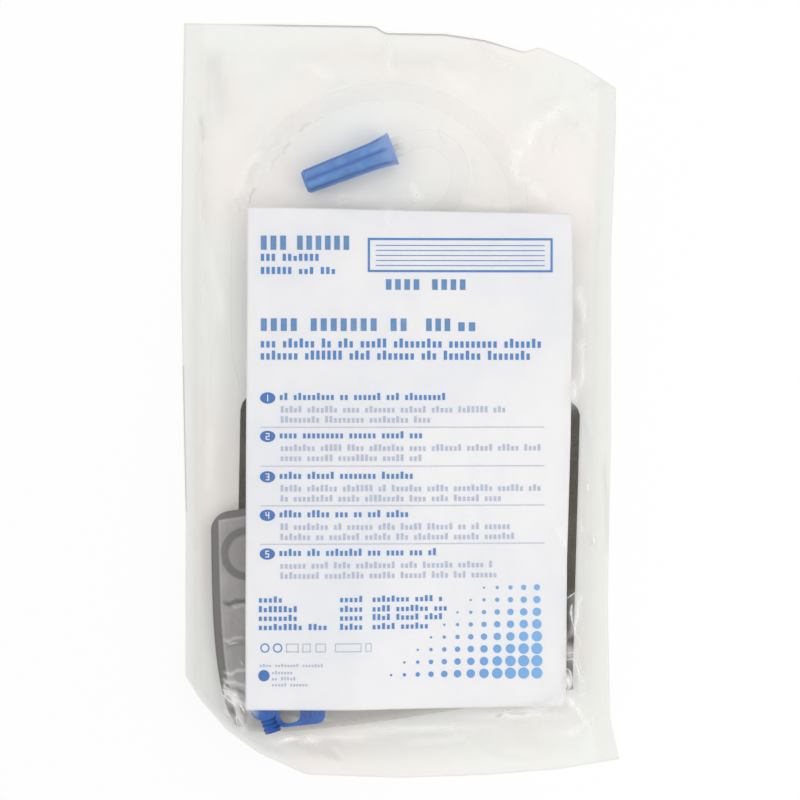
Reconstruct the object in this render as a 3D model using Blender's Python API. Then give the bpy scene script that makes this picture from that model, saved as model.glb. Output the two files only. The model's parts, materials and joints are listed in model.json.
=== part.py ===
"""Urine leg bag packed sterile: the bag folded once, its inlet tube looped above it, a printed
sheet laid over it, and all of it sealed between a paper back and a clear film front.

The pack lies on its paper back. X runs across it, Y up it towards the capped tube, Z out of
the clear front. The origin is the middle of the back. Lengths are in metres.
"""

import math

import bmesh
import bpy
import numpy as np
from mathutils import Matrix

# Clearances
GAP = 0.0003  # between sheets and pieces that rest on each other
RUNNING = 0.0003  # round the tap's plug in its socket

# Pouch: sheets, seals, and the free room between what it holds and its edge
POUCH_SIDE_ROOM = 0.02065  # beside the unfolded bag
POUCH_HEAD_ROOM = 0.02545  # above the loop of the inlet tube
POUCH_FOOT_ROOM = 0.0209  # below the fold and the tap's nozzle
PAPER_THICKNESS = 0.0003
FILM_THICKNESS = 0.0003
SIDE_SEAL = 0.008
END_SEAL = 0.010
FILM_RISE = 0.002  # beside a side seal, where the film turns up over the bag
TUCKED_CORNER = (-0.045, 0.003)  # the lower left corner is tucked under: right end and edge band
FILM_COLUMNS, FILM_ROWS = 26, 41
FILM_TAUTNESS = 1500  # rounds of evening out: enough for a taut film

# Printed sheet: plan outline of each side, and its print
SHEET_TOP = [(-0.0631, 0.0795), (0.0708, 0.0770)]
SHEET_BOTTOM = [(-0.0635, -0.1271), (0.0662, -0.1275)]
SHEET_LEFT = [(-0.0635, -0.1271), (-0.0640, -0.0200), (-0.0631, 0.0795)]
SHEET_RIGHT = [(0.0662, -0.1275), (0.0690, -0.1200), (0.0691, -0.0660), (0.0710, -0.0166),
               (0.0720, 0.0410), (0.0708, 0.0770)]
SHEET_THICKNESS = 0.0003
SHEET_COLUMNS, SHEET_ROWS = 17, 24
SHEET_STIFFNESS = 50  # rounds of evening out: the paper bends gently from one support to the next
PRINT_CORNER = (0.060, -0.118)  # lower right corner of the printed blue panel
PRINT_BLOCK = (0.072, 0.036)

# Bag: the panel lies on the paper, and the flap is folded up over it
BAG_WIDTH = 0.1411
PANEL_LENGTH = 0.1264  # from the bag's top edge down to the fold
PANEL_TOP_MIDDLE, PANEL_TOP_TURN = (0.00435, 0.00125), math.radians(-1.3)
FOLD_MIDDLE, FOLD_TURN = (0.0015, PANEL_TOP_MIDDLE[1] - PANEL_LENGTH), math.radians(5.8)
FLAP_END_MIDDLE, FLAP_END_TURN = (-0.0087, -0.03455), math.radians(9.0)
FOLD_SAG = 0.0047  # the fold bulges this far downwards between its ends
FLAP_BULGE = 0.0044  # and the flap's left edge this far outwards
BEND_RADIUS = 0.0006  # inside the fold
NONWOVEN_THICKNESS = 0.0004
BAG_FILM = 0.0003
POCKET = 0.00095  # empty pocket between the two films
WELD = 0.003  # width of the weld round the bag
CORNER_RADIUS = 0.007


def bag_edge(middle, turn):
    """The two ends of an edge that runs straight across the bag."""
    half = BAG_WIDTH / 2 * math.cos(turn), BAG_WIDTH / 2 * math.sin(turn)
    return [(middle[0] - half[0], middle[1] - half[1]), (middle[0] + half[0], middle[1] + half[1])]


PANEL_TOP = bag_edge(PANEL_TOP_MIDDLE, PANEL_TOP_TURN)
FOLD = bag_edge(FOLD_MIDDLE, FOLD_TURN)
FLAP_END = bag_edge(FLAP_END_MIDDLE, FLAP_END_TURN)

# Ports: a flat boat welded between the films, and a round spigot for a tube
BOAT_WIDTH, BOAT_THICKNESS = 0.022, 0.004
BOAT_LENGTH = 0.012
SPIGOT_RADIUS = 0.0033
PORT_COLLAR = 0.0005  # how far the collar stands out of the spigot
PORT_BORE = 0.0022
INLET_SPIGOT, OUTLET_SPIGOT = 0.0141, 0.0080  # reach past the bag's edge
PORT_RISE = 0.00595  # how far the boat spreads the films
PORT_SPREAD = (0.019, 0.026)  # and how far to each side and into the bag

# Non-return valve inside the inlet
VALVE_THICKNESS = 0.0003
VALVE_START, VALVE_END = 0.014, 0.062  # below the bag's top edge
VALVE_WIDE, VALVE_NARROW = 0.022, 0.014

# Inlet tube, 0.5 m, and the points that it is laid through
INLET_DIAMETER = 0.0075
INLET_ROUTE = [
    (0.0046, 0.0157, 0.0044), (0.0052, 0.0232, 0.0044), (0.0087, 0.0310, 0.0044), (0.0170, 0.0377, 0.0044),
    (0.0290, 0.0443, 0.0044), (0.0405, 0.0546, 0.0044), (0.0475, 0.0675, 0.0044), (0.0493, 0.0820, 0.0044),
    (0.0455, 0.0970, 0.0044), (0.0364, 0.1101, 0.0044), (0.0240, 0.1201, 0.0044), (0.0137, 0.1250, 0.0044),
    (0.0016, 0.1277, 0.0044), (-0.0112, 0.1277, 0.0044), (-0.0224, 0.1254, 0.0044),
    (-0.0331, 0.1209, 0.0044), (-0.0426, 0.1155, 0.0044), (-0.0509, 0.1085, 0.0044),
    (-0.0575, 0.0994, 0.0044), (-0.0622, 0.0894, 0.0044), (-0.0650, 0.0780, 0.0044),
    (-0.0662, 0.0621, 0.0044), (-0.0664, 0.0440, 0.0044), (-0.0662, 0.0280, 0.0050),
    (-0.0648, 0.0144, 0.0071), (-0.0593, 0.0012, 0.0075), (-0.0459, -0.0046, 0.0075),
    (-0.0325, 0.0012, 0.0075), (-0.0270, 0.0144, 0.0070), (-0.0252, 0.0280, 0.0049),
    (-0.0213, 0.0405, 0.0044), (-0.0145, 0.0505, 0.0044), (-0.0060, 0.0588, 0.0044),
    (0.0035, 0.0664, 0.0044), (0.0125, 0.0738, 0.0044), (0.0195, 0.0806, 0.0044), (0.0238, 0.0872, 0.0047),
    (0.0249, 0.0946, 0.0054), (0.0227, 0.1013, 0.0063), (0.0178, 0.1061, 0.0072), (0.0117, 0.1080, 0.0079),
    (0.0062, 0.1072, 0.0082), (0.0020, 0.1056, 0.0081),
]

# Outlet tube, from the flap's port round to the tap
OUTLET_DIAMETER = 0.0065
OUTLET_ROUTE = [
    (-0.0103, -0.0263, 0.0085), (-0.0111, -0.0214, 0.0085), (-0.0136, -0.0151, 0.0083),
    (-0.0189, -0.0105, 0.0081), (-0.0259, -0.0087, 0.0080), (-0.0329, -0.0105, 0.0081),
    (-0.0382, -0.0151, 0.0084), (-0.0408, -0.0216, 0.0089), (-0.0425, -0.0330, 0.0096),
    (-0.0452, -0.0470, 0.0100), (-0.0487, -0.0610, 0.0100), (-0.0523, -0.0750, 0.0101),
    (-0.0558, -0.0870, 0.0102), (-0.0587, -0.0970, 0.0104), (-0.0603, -0.1050, 0.0104),
    (-0.0601, -0.1103, 0.0104), (-0.0587, -0.1149, 0.0104),
]

# Cap on the tube's connector
CAP_CLOSED_END = (-0.0395, 0.0898, 0.0066)
CAP_OPEN_END = (-0.0027, 0.1038, 0.0079)
CAP_RADIUS_OPEN, CAP_RADIUS_CLOSED = 0.0066, 0.0050
CAP_FLUTE = 0.0006  # depth of the grooves between its broad lengthwise ribs
CAP_FLUTES = 6
CAP_FLARE = 0.011  # length over which it widens towards its mouth
CAP_RIM = 0.0012  # length of the bead round the mouth
CAP_BEAD = 0.0004  # how far the bead stands out
CAP_BORE = 0.0046
CAP_BORE_DEPTH = 0.034
CAP_DRAFT = 0.0009  # how much narrower the bore is at its floor

# Stepped connector in the tube's end
CONNECTOR_COLLAR, CONNECTOR_NOSE, CONNECTOR_TIP = 0.0042, 0.0033, 0.0022
CONNECTOR_BORE = 0.0013
CONNECTOR_LENGTH = 0.030
CONNECTOR_OUTSIDE = 0.0045  # part of it that shows between tube and cap

# Tap: a barrel with a turning plug, a ribbed nozzle for a night bag's tube, and a lever
TAP_CENTRE = (-0.0556, -0.1251)
TAP_AXIS_HEIGHT = 0.0104
NOZZLE_ANGLE = math.radians(-73.0)
NOZZLE_REACH = 0.0118
NOZZLE_RADIUS = 0.0034
NOZZLE_RIB, NOZZLE_RIBS = 0.00035, 4
TAP_SPIGOT_REACH, TAP_SPIGOT_RADIUS = 0.0102, 0.0030
FLOW_BORE = 0.0016
BARREL_RADIUS = 0.0060
BARREL_BOTTOM, BARREL_TOP = 0.0067, 0.0141
PLUG_RADIUS = 0.0031
PLUG_BOTTOM = 0.0078
SEAL_RADIUS, SEAL_THICKNESS = 0.0041, 0.0011
LEVER_ANGLE = math.radians(6.2)
LEVER_TURN = math.radians(90.0)
LEVER_LENGTH, LEVER_WIDTH = 0.0245, 0.0186
LEVER_THICKNESS = 0.0018
LEVER_START = 0.0045  # the lever's frame starts beside the nozzle, this far from the turning axis
LEVER_RAIL = 0.0012
LEVER_CORNER = 0.0035
LEVER_SPOKE = 0.0038  # width of the spoke from the hub to the pad
LEVER_PAD = 0.0100
LEVER_GRIPS, LEVER_GRIP_DEPTH = 4, 0.0004

# Pouch outline: its extent, and each side as steps along it and in from it, left to right or upwards
POUCH_HALF = BAG_WIDTH / 2 + POUCH_SIDE_ROOM
POUCH_HEAD = max(y for _, y, _ in INLET_ROUTE) + INLET_DIAMETER / 2 + POUCH_HEAD_ROOM
NOZZLE_END = TAP_CENTRE[1] + NOZZLE_REACH * math.sin(NOZZLE_ANGLE)
POUCH_FOOT = min(NOZZLE_END, *(y for _, y in FOLD)) - POUCH_FOOT_ROOM
HEAD_DROP = [(-0.985, 0.0), (-0.114, 0.0012), (-0.068, 0.0041), (0.204, 0.0045), (0.386, 0.0070),
             (0.568, 0.0120), (0.636, 0.0099), (0.817, 0.0170), (0.985, 0.0269)]
FOOT_RISE = [(-0.979, 0.0426), (-0.912, 0.0327), (-0.792, 0.0200), (-0.645, 0.0103), (-0.427, 0.0013),
             (0.0, 0.0), (0.399, 0.0012), (0.731, 0.0037), (1.0, 0.0078)]
LEFT_INSET = [(0.0, 0.0019), (0.247, 0.0020), (0.438, 0.0009), (0.621, 0.0), (0.811, 0.0005), (1.0, 0.0014)]
RIGHT_INSET = [(0.0, 0.0), (0.061, 0.0037), (0.238, 0.0047), (0.475, 0.0034), (0.742, 0.0034),
               (0.830, 0.0026), (0.934, 0.0014), (1.0, 0.0014)]


def side_run(insets, side, foot, head):
    """A side of the pouch: steps are shares of its own length, insets are lengths."""
    return [(side * (POUCH_HALF - inset), foot + share * (head - foot)) for share, inset in insets]


POUCH_TOP = [(share * POUCH_HALF, POUCH_HEAD - drop) for share, drop in HEAD_DROP]
POUCH_BOTTOM = [(share * POUCH_HALF, POUCH_FOOT + rise) for share, rise in FOOT_RISE]
POUCH_LEFT = side_run(LEFT_INSET, -1, POUCH_BOTTOM[0][1], POUCH_TOP[0][1])
POUCH_RIGHT = side_run(RIGHT_INSET, 1, POUCH_BOTTOM[-1][1], POUCH_TOP[-1][1])

SKIN_COLOURS = {
    "white_paper": (0.86, 0.86, 0.84), "clear_film": (0.80, 0.81, 0.80), "sheet_paper": (0.88, 0.88, 0.89),
    "print_blue": (0.05, 0.24, 0.58), "bag_film": (0.34, 0.33, 0.34), "nonwoven": (0.085, 0.072, 0.060),
    "clear_vinyl": (0.72, 0.72, 0.70), "cap_blue": (0.045, 0.17, 0.52), "tap_blue": (0.01, 0.08, 0.50),
    "seal_rubber": (0.02, 0.02, 0.02), "connector": (0.75, 0.76, 0.75),
}


def clear_scene():
    for thing in list(bpy.data.objects):
        bpy.data.objects.remove(thing, do_unlink=True)


def material(name, roughness=0.5, alpha=1.0):
    """A Principled material in one of the pack's colours, made once."""
    made = bpy.data.materials.get(name)
    if made is None:
        made = bpy.data.materials.new(name)
        made.use_nodes = True
        skin = made.node_tree.nodes["Principled BSDF"]
        skin.inputs["Base Color"].default_value = (*SKIN_COLOURS[name], 1.0)
        skin.inputs["Roughness"].default_value = roughness
        skin.inputs["Metallic"].default_value = 0.0
        skin.inputs["Alpha"].default_value = alpha
    return made


def make_object(name, points, faces, *materials):
    """A closed mesh from points and faces, with its faces turned outwards."""
    mesh = bpy.data.meshes.new(name)
    mesh.from_pydata([tuple(p) for p in points], [], [tuple(int(i) for i in f) for f in faces])
    shell = bmesh.new()
    shell.from_mesh(mesh)
    bmesh.ops.recalc_face_normals(shell, faces=shell.faces)
    shell.to_mesh(mesh)
    shell.free()
    for each in materials:
        mesh.materials.append(each)
    made = bpy.data.objects.new(name, mesh)
    bpy.context.scene.collection.objects.link(made)
    return made


def smooth(thing, angle=40.0):
    thing.data.shade_smooth()
    thing.data.set_sharp_from_angle(angle=math.radians(angle))
    return thing


def as_tool(thing):
    """Keeps a shape as a cutter or a blank for a Boolean, out of the finished model."""
    thing.hide_render = True
    thing.display_type = "WIRE"
    return thing


def boolean(thing, tool, operation):
    step = thing.modifiers.new(f"{operation.lower()}_{tool.name}", "BOOLEAN")
    step.operation = operation
    step.solver = "EXACT"
    step.object = as_tool(tool)
    return thing


# Plans and heights of the flat sheets


def along(points, fractions):
    """Points at these fractions of a polyline's length."""
    points = np.array(points, float)
    steps = np.linalg.norm(np.diff(points, axis=0), axis=1)
    reach = np.concatenate([[0.0], np.cumsum(steps)]) / steps.sum()
    return np.stack([np.interp(fractions, reach, points[:, k]) for k in range(points.shape[1])], axis=1)


def patch(top, bottom, left, right, us, vs):
    """Plan of a sheet: a grid blended between its four edges, us across and vs from bottom to top."""
    low, high = along(bottom, us), along(top, us)
    near, far = along(left, vs), along(right, vs)
    u, v = us[:, None, None], vs[None, :, None]
    ruled = (1 - v) * low[:, None] + v * high[:, None] + (1 - u) * near[None] + u * far[None]
    corners = (1 - u) * (1 - v) * low[0] + u * (1 - v) * low[-1] + (1 - u) * v * high[0] + u * v * high[-1]
    return ruled - corners


def grid_lines(count, *bands):
    """Fractions for grid lines: close to both ends at these bands, and even between them."""
    inner = np.linspace(bands[-1], 1 - bands[-1], count - 2 * len(bands))
    return np.concatenate([[0.0], bands[:-1], inner, [1 - band for band in bands[-2::-1]], [1.0]])


def sheet(name, lower, upper, *materials):
    """A closed sheet between two grids of points: two skins in like triangles, and a rim."""
    columns, rows = lower.shape[:2]
    index = np.arange(columns * rows).reshape(columns, rows)
    a, b, c, d = index[:-1, :-1], index[1:, :-1], index[1:, 1:], index[:-1, 1:]
    skin = np.concatenate([np.stack([a, b, c], -1).reshape(-1, 3), np.stack([a, c, d], -1).reshape(-1, 3)])
    rim = np.concatenate([index[:, 0], index[-1, 1:], index[-2::-1, -1], index[0, -2:0:-1]])
    ahead = np.roll(rim, -1)
    above = columns * rows
    edge = np.concatenate([
        np.stack([rim, ahead, ahead + above], -1), np.stack([rim, ahead + above, rim + above], -1)])
    faces = np.concatenate([skin + above, skin[:, ::-1], edge])
    points = np.concatenate([lower.reshape(-1, 3), upper.reshape(-1, 3)])
    return make_object(name, points, faces, *materials)


def lifted(plan, height):
    """Points over a plan grid at these heights."""
    return np.concatenate([plan, np.broadcast_to(height, plan.shape[:2])[..., None]], axis=2)


def top_of(cloud, plan, reach):
    """Highest content within reach of each plan point, across and along, or nothing."""
    flat = plan.reshape(-1, 2)
    near = (np.abs(flat[:, None, 0] - cloud[None, :, 0]) <= reach[0]) & (
        np.abs(flat[:, None, 1] - cloud[None, :, 1]) <= reach[1])
    return np.where(near, cloud[None, :, 2], -1.0).max(axis=1).reshape(plan.shape[:2])


def draped(floor, pinned, rounds):
    """Heights of a sheet over a floor: each free point goes to its neighbours' mean, never below."""
    height = floor.copy()
    for _ in range(rounds):
        around = np.pad(height, 1, mode="edge")
        mean = (around[:-2, 1:-1] + around[2:, 1:-1] + around[1:-1, :-2] + around[1:-1, 2:]) / 4
        height = np.where(pinned, floor, np.maximum(floor, mean))
    return height


# Tubes


def smooth_route(points, between=16):
    """A Catmull-Rom curve through the points of a route."""
    p = np.array(points, float)
    p = np.vstack([2 * p[0] - p[1], p, 2 * p[-1] - p[-2]])
    t = np.linspace(0, 1, between, endpoint=False)[:, None]
    runs = [
        0.5 * (2 * b + (c - a) * t + (2 * a - 5 * b + 4 * c - d) * t**2 + (3 * b - a - 3 * c + d) * t**3)
        for a, b, c, d in zip(p[:-3], p[1:-2], p[2:-1], p[3:])
    ]
    return np.vstack([*runs, p[-2][None]])


def evenly(curve, step):
    """Points about a step apart along a curve, its ends kept."""
    length = np.linalg.norm(np.diff(curve, axis=0), axis=1).sum()
    return along(curve, np.linspace(0, 1, int(round(length / step)) + 1))


def tube(name, route, diameter, step, skin):
    """A flexible tube as a bevelled curve with closed ends."""
    points = evenly(smooth_route(route), step)
    line = bpy.data.curves.new(name, "CURVE")
    line.dimensions = "3D"
    line.bevel_depth = diameter / 2
    line.bevel_resolution = 2
    line.use_fill_caps = True
    run = line.splines.new("POLY")
    run.points.add(len(points) - 1)
    run.points.foreach_set("co", np.column_stack([points, np.ones(len(points))]).ravel())
    line.materials.append(skin)
    made = bpy.data.objects.new(name, line)
    bpy.context.scene.collection.objects.link(made)
    return made


def tube_cloud(route, diameter):
    """Points over the top of a tube, for the sheets that lie on it."""
    path = evenly(smooth_route(route), 0.002)
    ahead = np.gradient(path[:, :2], axis=0)
    ahead /= np.linalg.norm(ahead, axis=1)[:, None]
    aside = np.stack([-ahead[:, 1], ahead[:, 0]], axis=1)
    turn = np.radians([-75.0, -40.0, 0.0, 40.0, 75.0])
    plan = path[:, None, :2] + aside[:, None] * (np.sin(turn) * diameter / 2)[None, :, None]
    return np.concatenate([plan, (path[:, 2:3] + np.cos(turn) * diameter / 2)[..., None]], 2).reshape(-1, 3)


# Turned pieces


def frame_along(start, ahead):
    """Two axes square to a direction, the second one upright."""
    ahead = np.array(ahead, float) / np.linalg.norm(ahead)
    side = np.cross(ahead, (0.0, 0.0, 1.0) if abs(ahead[2]) < 0.9 else (0.0, 1.0, 0.0))
    side /= np.linalg.norm(side)
    return np.array(start, float), ahead, side, np.cross(side, ahead)


def ring_faces(rings, sides, closed):
    """Quads between rings of points, the last joined to the first if the profile is a loop."""
    index = np.arange(rings * sides).reshape(rings, sides)
    ahead = np.roll(index, -1, axis=0) if closed else index[1:]
    here = index if closed else index[:-1]
    return np.stack([here, np.roll(here, -1, 1), np.roll(ahead, -1, 1), ahead], -1).reshape(-1, 4)


def sleeve(name, start, ahead, profile, sides, skin, ribs=None):
    """A hollow piece swept round an axis: profile is a loop of (distance, half width, half height).

    ribs is a pair of arrays, a factor for each profile point and a height for each side."""
    origin, forward, side, up = frame_along(start, ahead)
    turn = np.linspace(0, 2 * math.pi, sides, endpoint=False)
    loop = np.array(profile, float)
    extra = 0.0 if ribs is None else ribs[0][:, None] * ribs[1][None, :]
    wide = (loop[:, 1:2] + extra) * np.cos(turn)
    high = (loop[:, 2:3] + extra) * np.sin(turn)
    points = (origin + forward * loop[:, None, 0:1] + side * wide[..., None] + up * high[..., None])
    made = make_object(name, points.reshape(-1, 3), ring_faces(len(loop), sides, True), skin)
    return smooth(made)


def round_profile(outer, inner):
    """Loop of a round sleeve from (distance, radius) down its outside and back up its bore."""
    return [(d, r, r) for d, r in outer] + [(d, r, r) for d, r in inner[::-1]]


def turned_blank(name, start, ahead, profile, sides, skin):
    """A solid turned round an axis from (distance, radius) points, its ends closed flat."""
    origin, forward, side, up = frame_along(start, ahead)
    turn = np.linspace(0, 2 * math.pi, sides, endpoint=False)
    loop = np.array(profile, float)
    round_ = np.cos(turn)[:, None] * side + np.sin(turn)[:, None] * up
    points = origin + forward * loop[:, None, 0:1] + round_[None] * loop[:, None, 1:2]
    faces = [*ring_faces(len(loop), sides, False).tolist(), list(range(sides)),
             list(range(len(loop) * sides - sides, len(loop) * sides))]
    return make_object(name, points.reshape(-1, 3), faces, skin)


# Bag


def rounded(across, down):
    """Draws points near a square corner onto quarter rings, so that the sheet's corner is round."""
    p = np.clip(CORNER_RADIUS - across, 0, CORNER_RADIUS)
    q = np.clip(CORNER_RADIUS - down, 0, CORNER_RADIUS)
    pull = np.where((p > 0) & (q > 0), np.maximum(p, q) / np.maximum(np.hypot(p, q), 1e-9), 1.0)
    return np.where(p * q > 0, CORNER_RADIUS - p * pull, across), np.where(
        p * q > 0, CORNER_RADIUS - q * pull, down)


def outward(edge, upwards):
    """Middle of an edge of the bag and the direction that leads out of it."""
    left, right = (np.array(p, float) for p in edge)
    run = (right - left) / np.linalg.norm(right - left)
    out = np.array([-run[1], run[0]]) if upwards else np.array([run[1], -run[0]])
    return (left + right) / 2, out


def port_rise(plan, edge):
    """How far a port's boat spreads the films at a plan point, as a bell round the port."""
    middle, out = outward(edge, True)
    run = np.array([out[1], -out[0]])
    offset = plan - middle
    across, inside = offset @ run, offset @ out
    return PORT_RISE * np.exp(-((across / PORT_SPREAD[0]) ** 2) - (inside / PORT_SPREAD[1]) ** 2)


def bag_plan(s, v):
    """Plan of the folded bag: s across it, v 0 to 1 down the panel, 1 to 2 round the fold and
    2 to 3 up the flap. Also gives the distances to the nearest welded edge and side."""
    top, fold, end = (np.array(edge, float) for edge in (PANEL_TOP, FOLD, FLAP_END))
    panel_length = np.linalg.norm(fold.mean(0) - top.mean(0))
    flap_length = np.linalg.norm(end.mean(0) - fold.mean(0))
    side = np.minimum(s, 1 - s) * BAG_WIDTH
    down = np.clip(v, 0, 1) * panel_length
    up = np.clip(3 - v, 0, 1) * flap_length
    side_a, down = rounded(side, down)
    side_b, up = rounded(side, up)
    side = np.where(v <= 1, side_a, np.where(v >= 2, side_b, side))
    s = np.where(s <= 0.5, side / BAG_WIDTH, 1 - side / BAG_WIDTH)
    main_v = np.where(v < 1, down / panel_length, 1.0)
    flap_v = np.where(v > 2, 1 - up / flap_length, 0.0)
    s3, main_v, flap_v = s[..., None], main_v[..., None], flap_v[..., None]
    _, out = outward(FOLD, False)
    fold_at = fold[0] + s3 * (fold[1] - fold[0]) + out * FOLD_SAG * np.sin(math.pi * np.sqrt(s3))
    top_at = top[0] + s3 * (top[1] - top[0])
    end_at = end[0] + s3 * (end[1] - end[0])
    bulge = FLAP_BULGE * (1 - s3) ** 2 * np.sin(math.pi * np.clip(flap_v, 0, 1) ** 0.6)
    panel = top_at + (fold_at - top_at) * main_v
    flap = fold_at + (end_at - fold_at) * flap_v - np.array([1.0, 0.0]) * bulge
    edge = np.minimum(side, np.where(v <= 1, down, np.where(v >= 2, up, side)))
    return np.where(v[..., None] <= 1.0, panel, flap), edge, side


def empty_pocket(edge):
    """Gap between the bag's films where no port is near: closed at the weld."""
    return GAP + (POCKET - GAP) * np.clip((edge - WELD) / WELD, 0, 1)


BACK_FACE = BEND_RADIUS + NONWOVEN_THICKNESS + GAP + BAG_FILM  # inner face of the back film


def bag_points(s, v, base, share):
    """Points of a layer of the folded bag, base plus share of the pocket away from the fold's middle."""
    plan, edge, side = bag_plan(s, v)
    on_panel, on_flap = v <= 1, v >= 2
    lift = np.where(on_panel | on_flap, port_rise(plan, PANEL_TOP), 0.0)
    hollow = empty_pocket(edge) + np.where(on_panel, lift, np.where(on_flap, port_rise(plan, FLAP_END), 0.0))
    depth = base + share * hollow
    under = np.where(on_panel, hollow, empty_pocket(side) + lift)
    turn = np.clip(v - 1, 0, 1) * math.pi
    _, out = outward(FOLD, False)
    plan = plan + out * (depth * np.sin(turn))[..., None]
    middle = PAPER_THICKNESS + GAP + BACK_FACE + under + BAG_FILM
    return np.concatenate([plan, (middle - depth * np.cos(turn))[..., None]], axis=2)


def bag_lines():
    """Grid lines across and along the bag: close at the welds, the ports and the fold."""
    half = [0.0, WELD, 2 * WELD + 0.001, 0.018, 0.036, 0.052]
    near = [0.5 - k / BAG_WIDTH for k in (0.0135, 0.0065)]
    left = [k / BAG_WIDTH for k in half] + near
    across = np.array(left + [0.5] + [1 - k for k in reversed(left)])
    panel = [0.0, 0.022, 0.052, 0.12, 0.2, 0.35, 0.55, 0.75, 0.9]
    bend = [1.0, 1.2, 1.4, 1.6, 1.8]
    flap = [2.0, 2.1, 2.25, 2.4, 2.55, 2.7, 2.82, 2.92, 2.966, 3.0]
    return np.meshgrid(across, np.array(panel + bend + flap), indexing="ij")


def bag_layer(name, lower, upper, skin):
    """One sheet of the bag between two layers, each a pair of base and pocket share."""
    s, v = bag_lines()
    return sheet(name, bag_points(s, v, *lower), bag_points(s, v, *upper), skin)


def bag_cloud():
    """Points over the folded bag, for the sheets that lie on it."""
    s, v = np.meshgrid(np.linspace(0, 1, 60), np.linspace(0, 3, 130), indexing="ij")
    outer = bag_points(s, v, BACK_FACE + BAG_FILM, 1.0)
    inner = bag_points(s, v, BEND_RADIUS, 0.0)
    return np.concatenate([outer.reshape(-1, 3), inner.reshape(-1, 3)])


def make_valve(skin):
    """Two thin films in one: a flat duckbill that narrows from the port into the pocket."""
    length = np.linalg.norm(np.mean(FOLD, axis=0) - np.mean(PANEL_TOP, axis=0))
    ahead = np.linspace(0, 1, 6)
    half = (VALVE_WIDE + (VALVE_NARROW - VALVE_WIDE) * ahead) / 2 / BAG_WIDTH
    s = 0.5 + np.linspace(-1, 1, 5)[:, None] * half[None]
    v = np.broadcast_to((VALVE_START + (VALVE_END - VALVE_START) * ahead) / length, s.shape)
    thin = VALVE_THICKNESS / 2
    lower = bag_points(s, v, BACK_FACE + thin, 0.5)
    upper = bag_points(s, v, BACK_FACE - thin, 0.5)
    return sheet("non_return_valve", lower, upper, skin)


def make_port(name, edge, reach, height, skin):
    """A moulded port: a boat between the films, a waist, and a round spigot with a collar."""
    middle, out = outward(edge, True)
    flat = (BOAT_WIDTH / 2, BOAT_THICKNESS / 2)
    outer = [
        (-BOAT_LENGTH, 0.8 * flat[0], 0.8 * flat[1]), (-BOAT_LENGTH + 0.002, *flat), (0.0005, *flat),
        (0.0030, SPIGOT_RADIUS + 0.001, SPIGOT_RADIUS), (0.0045, SPIGOT_RADIUS, SPIGOT_RADIUS),
        (reach - 0.0030, SPIGOT_RADIUS, SPIGOT_RADIUS),
        (reach - 0.0024, SPIGOT_RADIUS + PORT_COLLAR, SPIGOT_RADIUS + PORT_COLLAR),
        (reach, SPIGOT_RADIUS + PORT_COLLAR, SPIGOT_RADIUS + PORT_COLLAR),
    ]
    bore = [(reach, PORT_BORE, PORT_BORE), (-BOAT_LENGTH, PORT_BORE, PORT_BORE)]
    return sleeve(name, (*middle, height), (*out, 0.0), outer + bore, 20, skin)


# Cap and connector


def make_cap(skin):
    """A cap with broad lengthwise ribs, closed and rounded at one end, flared to a beaded mouth."""
    closed, mouth = np.array(CAP_CLOSED_END), np.array(CAP_OPEN_END)
    length = np.linalg.norm(mouth - closed)
    small, large = CAP_RADIUS_CLOSED, CAP_RADIUS_OPEN
    shoulder = 0.0018
    waist = small + 0.4 * (large - small)
    flare = length - CAP_FLARE
    rim = length - CAP_RIM
    outer = [(0.0, 0.15 * small), (0.0, small - shoulder), (0.3 * shoulder, small - 0.3 * shoulder),
             (shoulder, small), (flare, waist), (flare + 0.5 * CAP_FLARE, 0.35 * waist + 0.65 * large),
             (rim - 0.0004, large), (rim, large + CAP_BEAD), (length, large + CAP_BEAD)]
    grooved = [0.0, 0.0, 0.0, 1.0, 1.0, 0.6, 0.0, 0.0, 0.0]
    floor = length - CAP_BORE_DEPTH
    bore = [(floor, 0.15 * CAP_BORE), (floor, CAP_BORE - CAP_DRAFT), (length, CAP_BORE)]
    round_groove = np.array([1.0, 0.5, 0.0, 0.0, 0.0, 0.0, 0.0, 0.5])
    sides = len(round_groove) * CAP_FLUTES
    origin, forward, side, up = frame_along(closed, mouth - closed)
    turn = math.pi / 2 + np.linspace(0, 2 * math.pi, sides, endpoint=False)
    groove = CAP_FLUTE * round_groove[np.arange(sides) % len(round_groove)]
    loop = np.array(outer + bore[::-1], float)
    share = np.array(grooved + [0.0] * len(bore))
    radius = loop[:, 1:2] - share[:, None] * groove[None]
    round_ = np.cos(turn)[:, None] * side + np.sin(turn)[:, None] * up
    points = (origin + forward * loop[:, None, 0:1] + round_[None] * radius[..., None]).reshape(-1, 3)
    faces = ring_faces(len(loop), sides, False).tolist()
    faces += [list(range(sides)), list(range(len(points) - sides, len(points)))]
    return smooth(make_object("protective_cap", points, faces, skin), 25.0)


def make_connector(skin):
    """A stepped hollow connector: a collar between the tube and the cap, and a tapered nose."""
    closed, mouth = np.array(CAP_CLOSED_END), np.array(CAP_OPEN_END)
    inwards = (closed - mouth) / np.linalg.norm(closed - mouth)
    start = mouth - inwards * CONNECTOR_OUTSIDE
    outer = [(0.0, CONNECTOR_COLLAR), (CONNECTOR_OUTSIDE + 0.002, CONNECTOR_COLLAR),
             (CONNECTOR_OUTSIDE + 0.0025, CONNECTOR_NOSE), (CONNECTOR_LENGTH * 0.5, CONNECTOR_NOSE - 0.0003),
             (CONNECTOR_LENGTH * 0.5 + 0.0004, CONNECTOR_NOSE), (CONNECTOR_LENGTH, CONNECTOR_TIP)]
    bore = [(0.0, CONNECTOR_BORE), (CONNECTOR_LENGTH, CONNECTOR_BORE)]
    profile = round_profile(outer, bore)
    return sleeve("tube_connector", start, inwards, profile, 20, skin)


# Tap


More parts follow.
